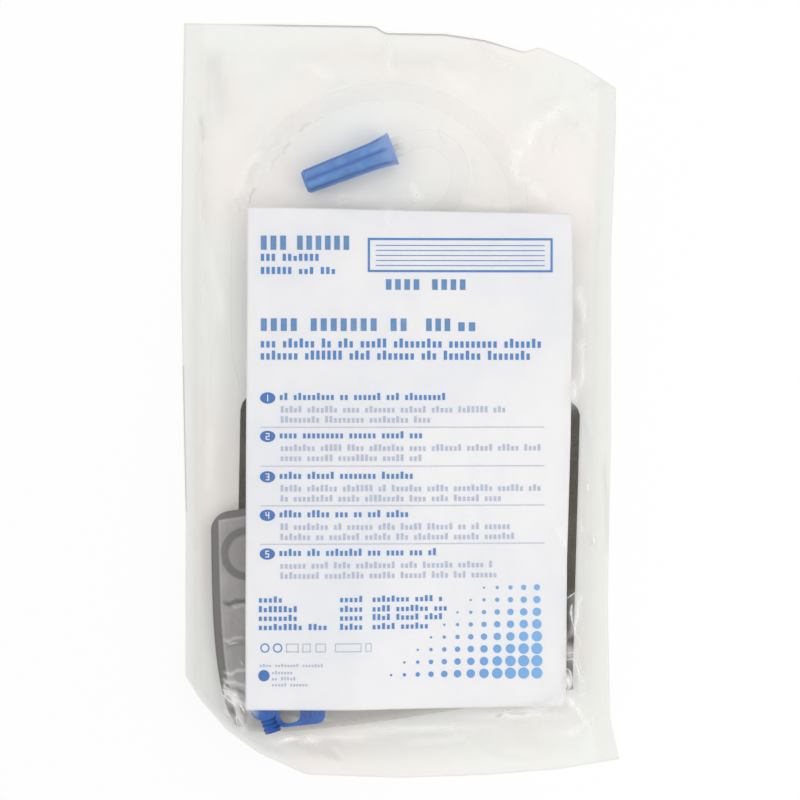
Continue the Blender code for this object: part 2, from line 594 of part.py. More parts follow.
def nozzle_direction():
    return np.array([math.cos(NOZZLE_ANGLE), math.sin(NOZZLE_ANGLE), 0.0])


def make_tap_body(skin):
    """The barrel with its ribbed nozzle and tube spigot, bored for the flow and for the plug."""
    ahead = nozzle_direction()
    centre = np.array([*TAP_CENTRE, TAP_AXIS_HEIGHT])
    body = turned_blank("tap_body", (*TAP_CENTRE, BARREL_BOTTOM), (0.0, 0.0, 1.0), [
        (0.0, BARREL_RADIUS - 0.0006), (0.0006, BARREL_RADIUS),
        (BARREL_TOP - BARREL_BOTTOM, BARREL_RADIUS)], 32, skin)
    pitch = (NOZZLE_REACH - BARREL_RADIUS * 0.7) / NOZZLE_RIBS
    profile = [(-TAP_SPIGOT_REACH, TAP_SPIGOT_RADIUS), (-0.5 * BARREL_RADIUS, TAP_SPIGOT_RADIUS)]
    profile += [(0.0, NOZZLE_RADIUS)]
    for k in range(NOZZLE_RIBS):
        start = NOZZLE_REACH - (NOZZLE_RIBS - k) * pitch
        profile += [(start, NOZZLE_RADIUS), (start + 0.25 * pitch, NOZZLE_RADIUS + NOZZLE_RIB),
                    (start + 0.8 * pitch, NOZZLE_RADIUS - 0.4 * NOZZLE_RIB)]
    profile += [(NOZZLE_REACH, NOZZLE_RADIUS)]
    boolean(body, turned_blank("nozzle_blank", centre, ahead, profile, 24, skin), "UNION")
    flow = turned_blank("flow_cutter", centre, ahead, [
        (-TAP_SPIGOT_REACH - 0.002, FLOW_BORE), (NOZZLE_REACH + 0.002, FLOW_BORE)], 16, skin)
    boolean(body, flow, "DIFFERENCE")
    socket_floor = PLUG_BOTTOM - RUNNING
    seat = BARREL_TOP - SEAL_THICKNESS - 2 * GAP
    counterbore = SEAL_RADIUS + SEAL_THICKNESS / 2 + GAP
    socket = turned_blank("socket_cutter", (*TAP_CENTRE, 0.0), (0.0, 0.0, 1.0), [
        (socket_floor, PLUG_RADIUS + RUNNING), (seat, PLUG_RADIUS + RUNNING),
        (seat, counterbore), (BARREL_TOP + 0.002, counterbore)], 32, skin)
    boolean(body, socket, "DIFFERENCE")
    return smooth(body)


def make_seal(skin):
    """A rubber ring round the plug, in the counterbore at the top of the barrel."""
    height = BARREL_TOP - SEAL_THICKNESS / 2 - GAP
    turn = np.linspace(0, 2 * math.pi, 8, endpoint=False)
    away = (SEAL_RADIUS + SEAL_THICKNESS / 2 * np.cos(turn))[:, None]
    high = (height + SEAL_THICKNESS / 2 * np.sin(turn))[:, None]
    sides = 28
    round_ = np.linspace(0, 2 * math.pi, sides, endpoint=False)[None]
    points = np.stack(np.broadcast_arrays(
        TAP_CENTRE[0] + away * np.cos(round_), TAP_CENTRE[1] + away * np.sin(round_), high), axis=2)
    faces = ring_faces(len(turn), sides, True)
    return smooth(make_object("tap_seal_ring", points.reshape(-1, 3), faces, skin))


def slab(name, corners, low, high, skin):
    """An upright prism over a plan outline."""
    count = len(corners)
    points = [(x, y, low) for x, y in corners] + [(x, y, high) for x, y in corners]
    faces = [list(range(count))[::-1], list(range(count, 2 * count))]
    faces += [[k, (k + 1) % count, (k + 1) % count + count, k + count] for k in range(count)]
    return make_object(name, points, faces, skin)


def rounded_box(low, high, radius, steps=4):
    """Outline of a rectangle with round corners."""
    outline = []
    for corner, first in (((1, 1), 0.0), ((-1, 1), 90.0), ((-1, -1), 180.0), ((1, -1), 270.0)):
        centre = [(high[k] if corner[k] > 0 else low[k]) - corner[k] * radius for k in (0, 1)]
        for step in range(steps + 1):
            a = math.radians(first + 90.0 * step / steps)
            outline.append((centre[0] + radius * math.cos(a), centre[1] + radius * math.sin(a)))
    return outline


def make_lever(skin):
    """The plug with its flow hole, and a flat windowed lever on top of it that a finger turns.

    It is modelled about its own turning axis, pointing along X, and then set in place."""
    low = BARREL_TOP + GAP
    high = low + LEVER_THICKNESS
    half = LEVER_WIDTH / 2
    outline = rounded_box((LEVER_START, -half), (LEVER_LENGTH, half), LEVER_CORNER)
    lever = slab("tap_lever", outline, low, high, skin)
    hub = turned_blank("hub_blank", (0.0, 0.0, low), (0.0, 0.0, 1.0), [
        (0.0, BARREL_RADIUS), (LEVER_THICKNESS - 0.0004, BARREL_RADIUS),
        (LEVER_THICKNESS, BARREL_RADIUS - 0.0005)], 32, skin)
    window_end = LEVER_LENGTH - LEVER_PAD
    opening = rounded_box((LEVER_START + LEVER_RAIL, LEVER_RAIL - half),
                          (window_end, half - LEVER_RAIL), LEVER_CORNER)
    window = slab("window_cutter", opening, low - 0.002, high + 0.002, skin)
    plug = turned_blank("plug_blank", (0.0, 0.0, PLUG_BOTTOM), (0.0, 0.0, 1.0), [
        (0.0, PLUG_RADIUS - 0.0003), (0.0003, PLUG_RADIUS),
        (low - PLUG_BOTTOM + 0.0008, PLUG_RADIUS)], 32, skin)
    end, side = window_end + 0.001, LEVER_SPOKE / 2
    bridge = slab("bridge_blank", [(0.0, -side), (end, -side), (end, side), (0.0, side)], low, high, skin)
    boolean(lever, window, "DIFFERENCE")
    boolean(lever, bridge, "UNION")
    boolean(lever, hub, "UNION")
    boolean(lever, plug, "UNION")
    across = NOZZLE_ANGLE - LEVER_ANGLE + LEVER_TURN
    reach = PLUG_RADIUS + 0.002
    start = np.array([-reach * math.cos(across), -reach * math.sin(across), TAP_AXIS_HEIGHT])
    flow = turned_blank("plug_hole_cutter", start, (math.cos(across), math.sin(across), 0.0),
                        [(0.0, FLOW_BORE), (2 * reach, FLOW_BORE)], 16, skin)
    boolean(lever, flow, "DIFFERENCE")
    pitch = (LEVER_PAD - 0.002) / LEVER_GRIPS
    for k in range(LEVER_GRIPS):
        x = window_end + 0.0015 + k * pitch
        groove = slab(f"grip_cutter_{k + 1}", [(x, -half + 0.003), (x + 0.5 * pitch, -half + 0.003),
                                               (x + 0.5 * pitch, half - 0.003), (x, half - 0.003)],
                      high - LEVER_GRIP_DEPTH, high + 0.001, skin)
        boolean(lever, groove, "DIFFERENCE")
    place = Matrix.Translation((*TAP_CENTRE, 0.0)) @ Matrix.Rotation(LEVER_ANGLE, 4, "Z")
    lever.matrix_world = place
    for step in lever.modifiers:
        step.object.matrix_world = place
    return smooth(lever)


def sweep_cloud():
    """Points over the space that the lever sweeps, which the sheets above it leave free."""
    reach = math.hypot(LEVER_LENGTH, LEVER_WIDTH / 2)
    spread = math.atan2(LEVER_WIDTH / 2, LEVER_LENGTH)
    turn = np.linspace(LEVER_ANGLE - spread, LEVER_ANGLE + LEVER_TURN + spread, 25)
    out = np.linspace(0.0, reach, 13)[:, None]
    top = BARREL_TOP + GAP + LEVER_THICKNESS
    x = TAP_CENTRE[0] + out * np.cos(turn)
    y = TAP_CENTRE[1] + out * np.sin(turn)
    fan = np.stack([x, y, np.full_like(x, top)], axis=2).reshape(-1, 3)
    round_ = np.linspace(0, 2 * math.pi, 16, endpoint=False)
    rim = BARREL_RADIUS * np.stack([np.cos(round_), np.sin(round_)], axis=1)
    hub = np.column_stack([rim + TAP_CENTRE, np.full(len(rim), top)])
    end = np.array([*TAP_CENTRE, 0.0]) + nozzle_direction() * NOZZLE_REACH
    crown = TAP_AXIS_HEIGHT + NOZZLE_RADIUS + NOZZLE_RIB
    aside = 0.5 * BARREL_RADIUS
    nozzle = np.array([[end[0] - aside, end[1], crown], [end[0] + aside, end[1], crown]])
    return np.concatenate([fan, hub, nozzle])


# Paper, printed sheet and film


def in_print(x, y):
    """Where the printed sheet is blue: a panel near its lower right corner."""
    across, up = PRINT_CORNER[0] - x, y - PRINT_CORNER[1]
    return 0 < across < PRINT_BLOCK[0] and 0 < up < PRINT_BLOCK[1]


def filled(points, between=4):
    """A grid of points with more of them set evenly between its columns."""
    count = len(points)
    at = np.linspace(0, count - 1, between * (count - 1) + 1)
    low = np.minimum(at.astype(int), count - 2)
    share = (at - low)[:, None, None]
    return points[low] * (1 - share) + points[low + 1] * share


def make_printed_sheet(contents, paper, ink):
    """The printed sheet: paper laid over the folded bag, with a blue panel."""
    us, vs = np.linspace(0, 1, SHEET_COLUMNS), np.linspace(0, 1, SHEET_ROWS)
    plan = patch(SHEET_TOP, SHEET_BOTTOM, SHEET_LEFT, SHEET_RIGHT, us, vs)
    cell = np.ptp(plan[..., 0]) / (SHEET_COLUMNS - 1), np.ptp(plan[..., 1]) / (SHEET_ROWS - 1)
    floor = top_of(contents, plan, (cell[0] + 0.001, cell[1] + 0.001)) + GAP
    height = draped(np.maximum(floor, 0.0), np.zeros(floor.shape, bool), SHEET_STIFFNESS)
    lower = lifted(plan, height)
    upper = lifted(plan, height + SHEET_THICKNESS)
    made = sheet("printed_sheet", lower, upper, paper, ink)
    for face in made.data.polygons:
        x, y, _ = face.center
        face.material_index = int(face.normal.z > 0.5 and in_print(x, y))
    return filled(filled(upper).swapaxes(0, 1)).reshape(-1, 3)


def pouch_grid():
    width = POUCH_TOP[-1][0] - POUCH_TOP[0][0]
    height = POUCH_LEFT[-1][1] - POUCH_RIGHT[0][1]
    us = grid_lines(FILM_COLUMNS, SIDE_SEAL / width, (SIDE_SEAL + FILM_RISE) / width)
    vs = grid_lines(FILM_ROWS, TUCKED_CORNER[1] / height, END_SEAL / height)
    plan = patch(POUCH_TOP, POUCH_BOTTOM, POUCH_LEFT, POUCH_RIGHT, us, vs)
    return plan, (width / (FILM_COLUMNS - 5), height / (FILM_ROWS - 5))


def make_paper(skin):
    """The flat paper back, cut to the pouch's outline."""
    plan, _ = pouch_grid()
    outline = np.concatenate([plan[:, 0], plan[-1, 1:], plan[-2::-1, -1], plan[0, -2:0:-1]])
    return slab("backing_paper", outline.tolist(), 0.0, PAPER_THICKNESS, skin)


def make_film(contents, skin):
    """The clear film front, sealed down round its edge and drawn over what the pouch holds."""
    plan, cell = pouch_grid()
    sealed = PAPER_THICKNESS + GAP
    pinned = np.ones(plan.shape[:2], bool)
    pinned[2:-2, 3:-3] = False
    pinned[2:-2, 1:3] = plan[2:-2, 1:3, 0] > TUCKED_CORNER[0]
    floor = np.maximum(top_of(contents, plan, (cell[0] + 0.001, cell[1] + 0.001)) + GAP, sealed)
    floor = np.where(pinned, sealed, floor)
    height = draped(floor, pinned, FILM_TAUTNESS)
    return sheet("clear_film", lifted(plan, height), lifted(plan, height + FILM_THICKNESS), skin)


def main():
    clear_scene()
    paper = material("white_paper", 0.75)
    vinyl = material("clear_vinyl", 0.2, 0.5)
    bag_film = material("bag_film", 0.25)
    make_paper(paper)
    near = BEND_RADIUS
    bag_layer("bag_nonwoven", (near + NONWOVEN_THICKNESS, 0.0), (near, 0.0), material("nonwoven", 0.9))
    bag_layer("bag_back_film", (BACK_FACE, 0.0), (BACK_FACE - BAG_FILM, 0.0), bag_film)
    bag_layer("bag_front_film", (BACK_FACE + BAG_FILM, 1.0), (BACK_FACE, 1.0), bag_film)
    make_valve(bag_film)
    whole = BACK_FACE + POCKET + BAG_FILM
    floor = PAPER_THICKNESS + GAP
    swell = POCKET + PORT_RISE
    make_port("inlet_port", PANEL_TOP, INLET_SPIGOT, floor + BAG_FILM + swell / 2, vinyl)
    make_port("outlet_port", FLAP_END, OUTLET_SPIGOT, floor + whole + BACK_FACE + swell / 2, vinyl)
    tube("inlet_tube", INLET_ROUTE, INLET_DIAMETER, 0.0085, vinyl)
    tube("outlet_tube", OUTLET_ROUTE, OUTLET_DIAMETER, 0.0070, vinyl)
    make_connector(material("connector", 0.3))
    cap = make_cap(material("cap_blue", 0.35))
    blue = material("tap_blue", 0.35)
    make_tap_body(blue)
    make_lever(blue)
    make_seal(material("seal_rubber", 0.8))
    cap_points = np.array([v.co for v in cap.data.vertices])
    contents = np.concatenate([
        bag_cloud(), tube_cloud(INLET_ROUTE, INLET_DIAMETER), tube_cloud(OUTLET_ROUTE, OUTLET_DIAMETER),
        cap_points, sweep_cloud()])
    over = make_printed_sheet(contents, material("sheet_paper", 0.7), material("print_blue", 0.6))
    make_film(np.concatenate([contents, over]), material("clear_film", 0.15, 0.35))


main()
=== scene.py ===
# %% [markdown]
# # A urine leg bag in its sterile pouch
#
# The pack lies on its paper back and is seen from straight above. A clear film covers a folded
# bag, its looped tube, a capped connector, a lever tap and a printed sheet. The solids come from
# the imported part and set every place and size. This script gives each of them its real surface.
# Lengths are in metres, X runs across the pack, Y up it, and Z out of the clear front.

import json
import math

import bpy
import numpy as np
from mathutils import Matrix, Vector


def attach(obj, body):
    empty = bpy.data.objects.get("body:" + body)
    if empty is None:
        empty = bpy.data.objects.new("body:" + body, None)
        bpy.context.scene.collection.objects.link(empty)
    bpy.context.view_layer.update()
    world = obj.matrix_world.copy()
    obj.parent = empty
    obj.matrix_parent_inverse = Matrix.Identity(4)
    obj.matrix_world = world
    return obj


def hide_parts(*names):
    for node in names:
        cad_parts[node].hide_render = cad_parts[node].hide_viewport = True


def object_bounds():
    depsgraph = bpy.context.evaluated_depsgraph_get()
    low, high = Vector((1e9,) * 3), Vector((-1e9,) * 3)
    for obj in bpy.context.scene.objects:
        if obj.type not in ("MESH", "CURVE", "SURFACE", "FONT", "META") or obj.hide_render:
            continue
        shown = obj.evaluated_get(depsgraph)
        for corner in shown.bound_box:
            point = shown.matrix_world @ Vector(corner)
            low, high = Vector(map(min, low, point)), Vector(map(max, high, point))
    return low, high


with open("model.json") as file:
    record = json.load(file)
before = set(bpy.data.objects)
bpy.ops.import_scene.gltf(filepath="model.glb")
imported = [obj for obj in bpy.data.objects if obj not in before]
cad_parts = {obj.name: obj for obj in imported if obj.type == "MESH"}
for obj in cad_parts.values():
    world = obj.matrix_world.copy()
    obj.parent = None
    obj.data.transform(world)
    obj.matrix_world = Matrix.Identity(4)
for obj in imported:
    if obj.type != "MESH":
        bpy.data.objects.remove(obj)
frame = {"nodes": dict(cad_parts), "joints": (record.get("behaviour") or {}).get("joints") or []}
cad_box = [list(corner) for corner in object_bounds()]
print("the packed part spans", np.round(np.subtract(cad_box[1], cad_box[0]) * 1000, 1), "mm")

# %% [markdown]
# ## The camera
#
# The photograph looks straight down on the pack. A long lens keeps the perspective weak, so the
# pouch's edges stay parallel as they are there. The distance follows from the width of paper
# that one image width shows: 800 pixels of 0.414 mm.

# %% Camera
PIXEL = 0.000414
VIEW_WIDTH = 800 * PIXEL
LENS, SENSOR = 85.0, 36.0
NEAR, FAR = 0.01, 20.0
SCALE_HEIGHT = 0.005  # the height above the table at which that scale holds


def put_object(name, data):
    """A new object in the scene for a camera, a mesh, a curve or a lamp."""
    made = bpy.data.objects.new(name, data)
    bpy.context.scene.collection.objects.link(made)
    return made


lens = bpy.data.cameras.new("camera")
lens.lens, lens.sensor_width = LENS, SENSOR
lens.clip_start, lens.clip_end = NEAR, FAR
camera = put_object("camera", lens)
camera.location = (0.0, 0.0, SCALE_HEIGHT + VIEW_WIDTH * LENS / SENSOR)
bpy.context.scene.camera = camera
print("camera height", round(camera.location.z, 3), "m")

# %% [markdown]
# ## Colours
#
# A colour is read off the photograph as screen values from 0 to 255, and a shader wants linear
# light. This helper turns one into the other.


# %% Colour helper
def screen(red, green, blue):
    """Linear colour of a screen colour: the lower part is a straight line, the rest a power of 2.4."""
    value = np.array([red, green, blue]) / 255.0
    linear = np.where(value <= 0.04045, value / 12.92, ((value + 0.055) / 1.055) ** 2.4)
    return (*linear.tolist(), 1.0)


# %% [markdown]
# ## Node helpers
#
# Every finish starts from one Principled shader. A constant goes straight onto its socket. What
# varies over a surface is a small chain of texture nodes on Object coordinates, which are metres
# in this scene, so a texture scale is a number of features per metre.


# %% Material helpers
class Finish:
    """A material with one Principled shader and short calls for the nodes that feed it."""

    def __init__(self, name, colour, roughness, **constants):
        self.material = bpy.data.materials.new(name)
        self.material.use_nodes = True
        self.nodes = self.material.node_tree.nodes
        self.skin = self.nodes["Principled BSDF"]
        self.skin.inputs["Base Color"].default_value = colour
        self.skin.inputs["Roughness"].default_value = roughness
        for socket, value in constants.items():
            self.skin.inputs[socket.replace("_", " ")].default_value = value

    def link(self, source, target):
        """Links an output of one node to an input of another."""
        self.material.node_tree.links.new(source, target)

    def feed(self, value, socket):
        """Puts a number or a colour onto a socket, or links another socket to it."""
        if isinstance(value, (int, float, tuple)):
            socket.default_value = value
        else:
            self.link(value, socket)

    def node(self, kind, **settings):
        """A new node with some of its settings."""
        made = self.nodes.new(kind)
        for key, value in settings.items():
            setattr(made, key, value)
        return made

    def place(self, stretch=(1.0, 1.0, 1.0), turn=0.0):
        """Object coordinates, turned about Z and stretched."""
        where = self.node("ShaderNodeTexCoord")
        mapping = self.node("ShaderNodeMapping")
        mapping.inputs["Rotation"].default_value[2] = turn
        mapping.inputs["Scale"].default_value = stretch
        self.link(where.outputs["Object"], mapping.inputs["Vector"])
        return mapping.outputs["Vector"]

    def noise(self, scale, detail=3.0, distortion=0.0, at=None):
        """Noise with so many features per metre, on plain Object coordinates or on those given."""
        made = self.node("ShaderNodeTexNoise")
        made.inputs["Scale"].default_value = scale
        made.inputs["Detail"].default_value = detail
        made.inputs["Distortion"].default_value = distortion
        self.link(at or self.place(), made.inputs["Vector"])
        return made.outputs["Fac"]

    def spread(self, value, low, high, to_low=0.0, to_high=1.0):
        """Value between low and high, drawn out to another range and clamped there."""
        made = self.node("ShaderNodeMapRange")
        names, numbers = ("From Min", "From Max", "To Min", "To Max"), (low, high, to_low, to_high)
        for socket, number in zip(names, numbers):
            made.inputs[socket].default_value = number
        self.link(value, made.inputs["Value"])
        return made.outputs["Result"]

    def attribute(self, name):
        """A number kept on each point of the mesh."""
        return self.node("ShaderNodeAttribute", attribute_name=name).outputs["Fac"]

    def sums(self, a, b, operation="ADD"):
        """The sum of two values, or another operation on them."""
        made = self.node("ShaderNodeMath", operation=operation)
        self.feed(a, made.inputs[0])
        self.feed(b, made.inputs[1])
        return made.outputs["Value"]

    def mixed(self, share, one, other):
        """A colour between two, each a colour or a socket."""
        made = self.node("ShaderNodeMix", data_type="RGBA")
        self.link(share, made.inputs["Factor"])
        self.feed(one, made.inputs[6])
        self.feed(other, made.inputs[7])
        return made.outputs[2]

    def paint(self, noise, ends, one, other, **tints):
        """Base colour: two colours spread over a noise, then a tint for each attribute of the points."""
        source = self.mixed(self.spread(self.noise(*noise), *ends), one, other)
        for name, tint in tints.items():
            source = self.mixed(self.attribute(name), source, tint)
        self.link(source, self.skin.inputs["Base Color"])

    def roughen(self, noise, ends, smooth, rough):
        """Roughness between two values, spread over a noise."""
        self.link(self.spread(self.noise(*noise), *ends, smooth, rough), self.skin.inputs["Roughness"])

    def bump(self, source, height, strength=1.0):
        """Raises the surface by a texture, height metres from its lowest to its highest value."""
        made = self.node("ShaderNodeBump")
        made.inputs["Distance"].default_value = height
        made.inputs["Strength"].default_value = strength
        self.link(source, made.inputs["Height"])
        self.link(made.outputs["Normal"], self.skin.inputs["Normal"])


# %% [markdown]
# ## Mesh helpers
#
# A flexible sheet could be a plane that modifiers bend. Here it is a grid of points worked out as
# one array, which states its shape exactly and gives the same mesh in each run. Small helpers
# raise such a grid to its heights, turn it into a mesh and give it its real thickness.


# %% Mesh helpers
def grid_faces(columns, rows):
    """Four-cornered faces between neighbours of a grid of points, turned to face up."""
    index = np.arange(columns * rows).reshape(columns, rows)
    corners = index[:-1, :-1], index[1:, :-1], index[1:, 1:], index[:-1, 1:]
    return np.stack(corners, axis=-1).reshape(-1, 4)


def lifted(plan, height):
    """Points in space over the places of a plan, all at one height or each at its own."""
    height = np.broadcast_to(height, plan.shape[:2])
    return np.concatenate([plan, height[..., None]], axis=2)


def put_mesh(name, points, faces, finish, **attributes):
    """A smooth mesh from arrays, with float attributes on its points, riding on the pack."""
    points = np.asarray(points, float).reshape(-1, 3)
    mesh = bpy.data.meshes.new(name)
    mesh.from_pydata(points.tolist(), [], np.asarray(faces).tolist())
    for key, values in attributes.items():
        layer = mesh.attributes.new(key, "FLOAT", "POINT")
        layer.data.foreach_set("value", np.asarray(values, np.float32).ravel())
    mesh.shade_smooth()
    mesh.materials.append(finish.material)
    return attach(put_object(name, mesh), "pack")


def thicken(thing, thickness, offset=0.0):
    """Gives a sheet its real thickness: offset -1 grows it inwards, 0 to both sides, 1 outwards."""
    step = thing.modifiers.new("thickness", "SOLIDIFY")
    step.thickness = thickness
    step.offset = offset


# %% [markdown]
# ## The two tubes
#
# Both tubes are soft clear vinyl, so they keep their round section and lie in easy curves. The
# long one leaves the bag's port under the sheet, loops once round the top of the pouch, turns
# back under the sheet and comes up again to its connector in the blue cap. Each is a curve
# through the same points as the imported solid, because a curve keeps an even section all along.
# Clear vinyl looks nearly empty in the middle and darker at its edges, where one looks along the
# wall. The Layer Weight node gives exactly that.

# %% Routes
INLET_DIAMETER = 0.0075
INLET_ROUTE = [
    (0.0046, 0.0157, 0.0044), (0.0052, 0.0232, 0.0044), (0.0087, 0.0310, 0.0044), (0.0170, 0.0377, 0.0044),
    (0.0290, 0.0443, 0.0044), (0.0405, 0.0546, 0.0044), (0.0475, 0.0675, 0.0044), (0.0493, 0.0820, 0.0044),
    (0.0455, 0.0970, 0.0044), (0.0364, 0.1101, 0.0044), (0.0240, 0.1201, 0.0044), (0.0137, 0.1250, 0.0044),
    (0.0016, 0.1277, 0.0044), (-0.0112, 0.1277, 0.0044), (-0.0224, 0.1254, 0.0044),
    (-0.0331, 0.1209, 0.0044), (-0.0426, 0.1155, 0.0044), (-0.0509, 0.1085, 0.0044),
    (-0.0575, 0.0994, 0.0044), (-0.0622, 0.0894, 0.0044), (-0.0650, 0.0780, 0.0044),
    (-0.0662, 0.0621, 0.0044), (-0.0664, 0.0440, 0.0044), (-0.0662, 0.0280, 0.0050),
    (-0.0648, 0.0144, 0.0071), (-0.0593, 0.0012, 0.0075), (-0.0459, -0.0046, 0.0075),
    (-0.0325, 0.0012, 0.0075), (-0.0270, 0.0144, 0.0070), (-0.0252, 0.0280, 0.0049),
    (-0.0213, 0.0405, 0.0044), (-0.0145, 0.0505, 0.0044), (-0.0060, 0.0588, 0.0044),
    (0.0035, 0.0664, 0.0044), (0.0125, 0.0738, 0.0044), (0.0195, 0.0806, 0.0044), (0.0238, 0.0872, 0.0047),
    (0.0249, 0.0946, 0.0054), (0.0227, 0.1013, 0.0063), (0.0178, 0.1061, 0.0072), (0.0117, 0.1080, 0.0079),
    (0.0062, 0.1072, 0.0082), (0.0020, 0.1056, 0.0081),
]
OUTLET_DIAMETER = 0.0065
OUTLET_ROUTE = [
    (-0.0103, -0.0263, 0.0085), (-0.0111, -0.0214, 0.0085), (-0.0136, -0.0151, 0.0083),
    (-0.0189, -0.0105, 0.0081), (-0.0259, -0.0087, 0.0080), (-0.0329, -0.0105, 0.0081),
    (-0.0382, -0.0151, 0.0084), (-0.0408, -0.0216, 0.0089), (-0.0425, -0.0330, 0.0096),
    (-0.0452, -0.0470, 0.0100), (-0.0487, -0.0610, 0.0100), (-0.0523, -0.0750, 0.0101),
    (-0.0558, -0.0870, 0.0102), (-0.0587, -0.0970, 0.0104), (-0.0603, -0.1050, 0.0104),
    (-0.0601, -0.1103, 0.0104), (-0.0587, -0.1149, 0.0104),
]


def smooth_route(points, between=8):
    """A Catmull-Rom curve: between two points it is the cubic that leaves each along its neighbours."""
    p = np.array(points, float)
    p = np.vstack([2 * p[0] - p[1], p, 2 * p[-1] - p[-2]])
    t = np.linspace(0, 1, between, endpoint=False)[:, None]
    a, b, c, d = (p[k:len(p) - 3 + k, None] for k in range(4))
    runs = 0.5 * (2 * b + (c - a) * t + (2 * a - 5 * b + 4 * c - d) * t**2 + (3 * b - a - 3 * c + d) * t**3)
    return np.vstack([runs.reshape(-1, p.shape[1]), p[-2]])


# %% Tubes
vinyl = Finish("clear_vinyl", screen(242, 242, 239), 0.3, Specular_IOR_Level=0.4)
edge_on = vinyl.node("ShaderNodeLayerWeight")
edge_on.inputs["Blend"].default_value = 0.35
wall = vinyl.spread(edge_on.outputs["Facing"], 0.55, 0.98)
vinyl.link(vinyl.mixed(wall, screen(255, 254, 252), screen(176, 176, 172)), vinyl.skin.inputs["Base Color"])
vinyl.link(vinyl.spread(edge_on.outputs["Facing"], 0.5, 0.98, 0.04, 0.2), vinyl.skin.inputs["Alpha"])
vinyl.roughen((240.0, 2.0), (0.3, 0.7), 0.24, 0.38)


def lay_tube(name, route, diameter):
    """A vinyl tube as a bevelled curve along its route, closed at both ends."""
    points = smooth_route(route)
    line = bpy.data.curves.new(name, "CURVE")
    line.dimensions = "3D"
    line.bevel_depth = diameter / 2
    line.bevel_resolution = 6
    line.use_fill_caps = True
    run = line.splines.new("POLY")
    run.points.add(len(points) - 1)
    run.points.foreach_set("co", np.column_stack([points, np.ones(len(points))]).ravel())
    run.use_smooth = True
    line.materials.append(vinyl.material)
    length = np.linalg.norm(np.diff(points, axis=0), axis=1).sum()
    print(name, "is", round(float(length), 3), "m long")
    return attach(put_object(name, line), "pack")


inlet = lay_tube("inlet_tube_vinyl", INLET_ROUTE, INLET_DIAMETER)
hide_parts("inlet_tube")
outlet = lay_tube("outlet_tube_vinyl", OUTLET_ROUTE, OUTLET_DIAMETER)
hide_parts("outlet_tube")

# %% [markdown]
# ## The cap
#
# The cap keeps the connector clean until the bag is used. It is moulded in blue polypropylene with
# broad lengthwise ribs for the fingers, and it flares to a beaded mouth. It could be turned with
# a Screw modifier and its grooves cut with Booleans, which leaves hard edges where grooves run
# out. So the surface is a radius as a function of the distance from the closed end and the angle
# round the axis, and grooves fade as smoothly as in a mould. The ribs come from a power of the
# cosine that rises along the cap, so the grooves are wide at its closed end and narrow at its
# mouth. The colour also carries painted light: the groove depth is kept on the points and mixed in
# as painted shade, the closed end gets painted shade too, and the mouth a paler painted highlight.

# %% Cap outline
CAP_CLOSED_END, CAP_OPEN_END = np.array([-0.0395, 0.0898, 0.0066]), np.array([-0.0027, 0.1038, 0.0079])
CAP_RADIUS_CLOSED, CAP_RADIUS_OPEN = 0.0050, 0.0066
CAP_SHOULDER, CAP_FLARE, CAP_RIM, CAP_BEAD = 0.0018, 0.011, 0.0012, 0.0004
CAP_FLUTE, CAP_FLUTES = 0.0007, 6
CAP_BORE, CAP_DRAFT, CAP_BORE_DEPTH = 0.0046, 0.0009, 0.034
CAP_WALL, CAP_CHAMFER = 0.0012, 0.0005
WAIST_SHARE = 0.4  # share of the widening that comes before the flare
SHOULDER_SHARE = 0.8  # height of the shoulder's quarter ellipse, as a share of its length
RIB_POWER, RIB_POWER_RISE = 1.6, 3.0
GROOVE_FADE = 0.004  # length over which the grooves run out before the rim
LEAST_GROOVE = 0.35  # share of the grooves' depth that the closed end keeps
MOUTH_FROM = 0.76  # share of the length from which the mouth is painted paler, a painted highlight
END_SHADE, CENTRE_SHADE = 0.7, 0.4  # painted shade: how dark the closed end's edge and its centre are painted
MOUTH_SHADE = 0.8  # how pale the mouth is painted, a painted highlight
AXIS_HOLE = 0.0001  # radius of the first and last ring, so that no face has a point for a side
cap_run = CAP_OPEN_END - CAP_CLOSED_END
CAP_LENGTH = float(np.linalg.norm(cap_run))
cap_run = cap_run / CAP_LENGTH
cap_side = np.cross(cap_run, (0.0, 0.0, 1.0))
cap_side = cap_side / np.linalg.norm(cap_side)
cap_up = np.cross(cap_side, cap_run)


def cap_radius(distance):
    """Radius of the ribs: a quarter ellipse at the shoulder, a taper, a smooth flare and a bead."""
    waist = CAP_RADIUS_CLOSED + WAIST_SHARE * (CAP_RADIUS_OPEN - CAP_RADIUS_CLOSED)
    straight = CAP_LENGTH - CAP_FLARE
    flare = np.clip((distance - straight) / CAP_FLARE, 0, 1)
    taper = CAP_RADIUS_CLOSED + (waist - CAP_RADIUS_CLOSED) * np.clip(distance / straight, 0, 1)
    radius = taper + (CAP_RADIUS_OPEN - waist) * flare * flare * (3 - 2 * flare)
    corner = np.clip(1 - distance / CAP_SHOULDER, 0, 1)
    bead = np.clip(1 - ((distance - CAP_LENGTH + CAP_RIM / 2) / (CAP_RIM / 2)) ** 2, 0, 1) ** 0.5
    return radius - CAP_SHOULDER * (1 - np.sqrt(1 - corner**2)) * SHOULDER_SHARE + CAP_BEAD * bead


# %% Cap finish
cap_plastic = Finish("cap_plastic", screen(52, 108, 196), 0.36, Specular_IOR_Level=0.5)
# painted light: the mouth tint is a painted highlight, the groove tint painted shade in the grooves and at
# the closed end
cap_plastic.paint((210.0, 2.0), (0.35, 0.65), screen(62, 122, 192), screen(86, 144, 206),
                  mouth=screen(138, 164, 220), groove=screen(16, 90, 176))
cap_plastic.roughen((600.0, 2.0), (0.3, 0.7), 0.28, 0.45)

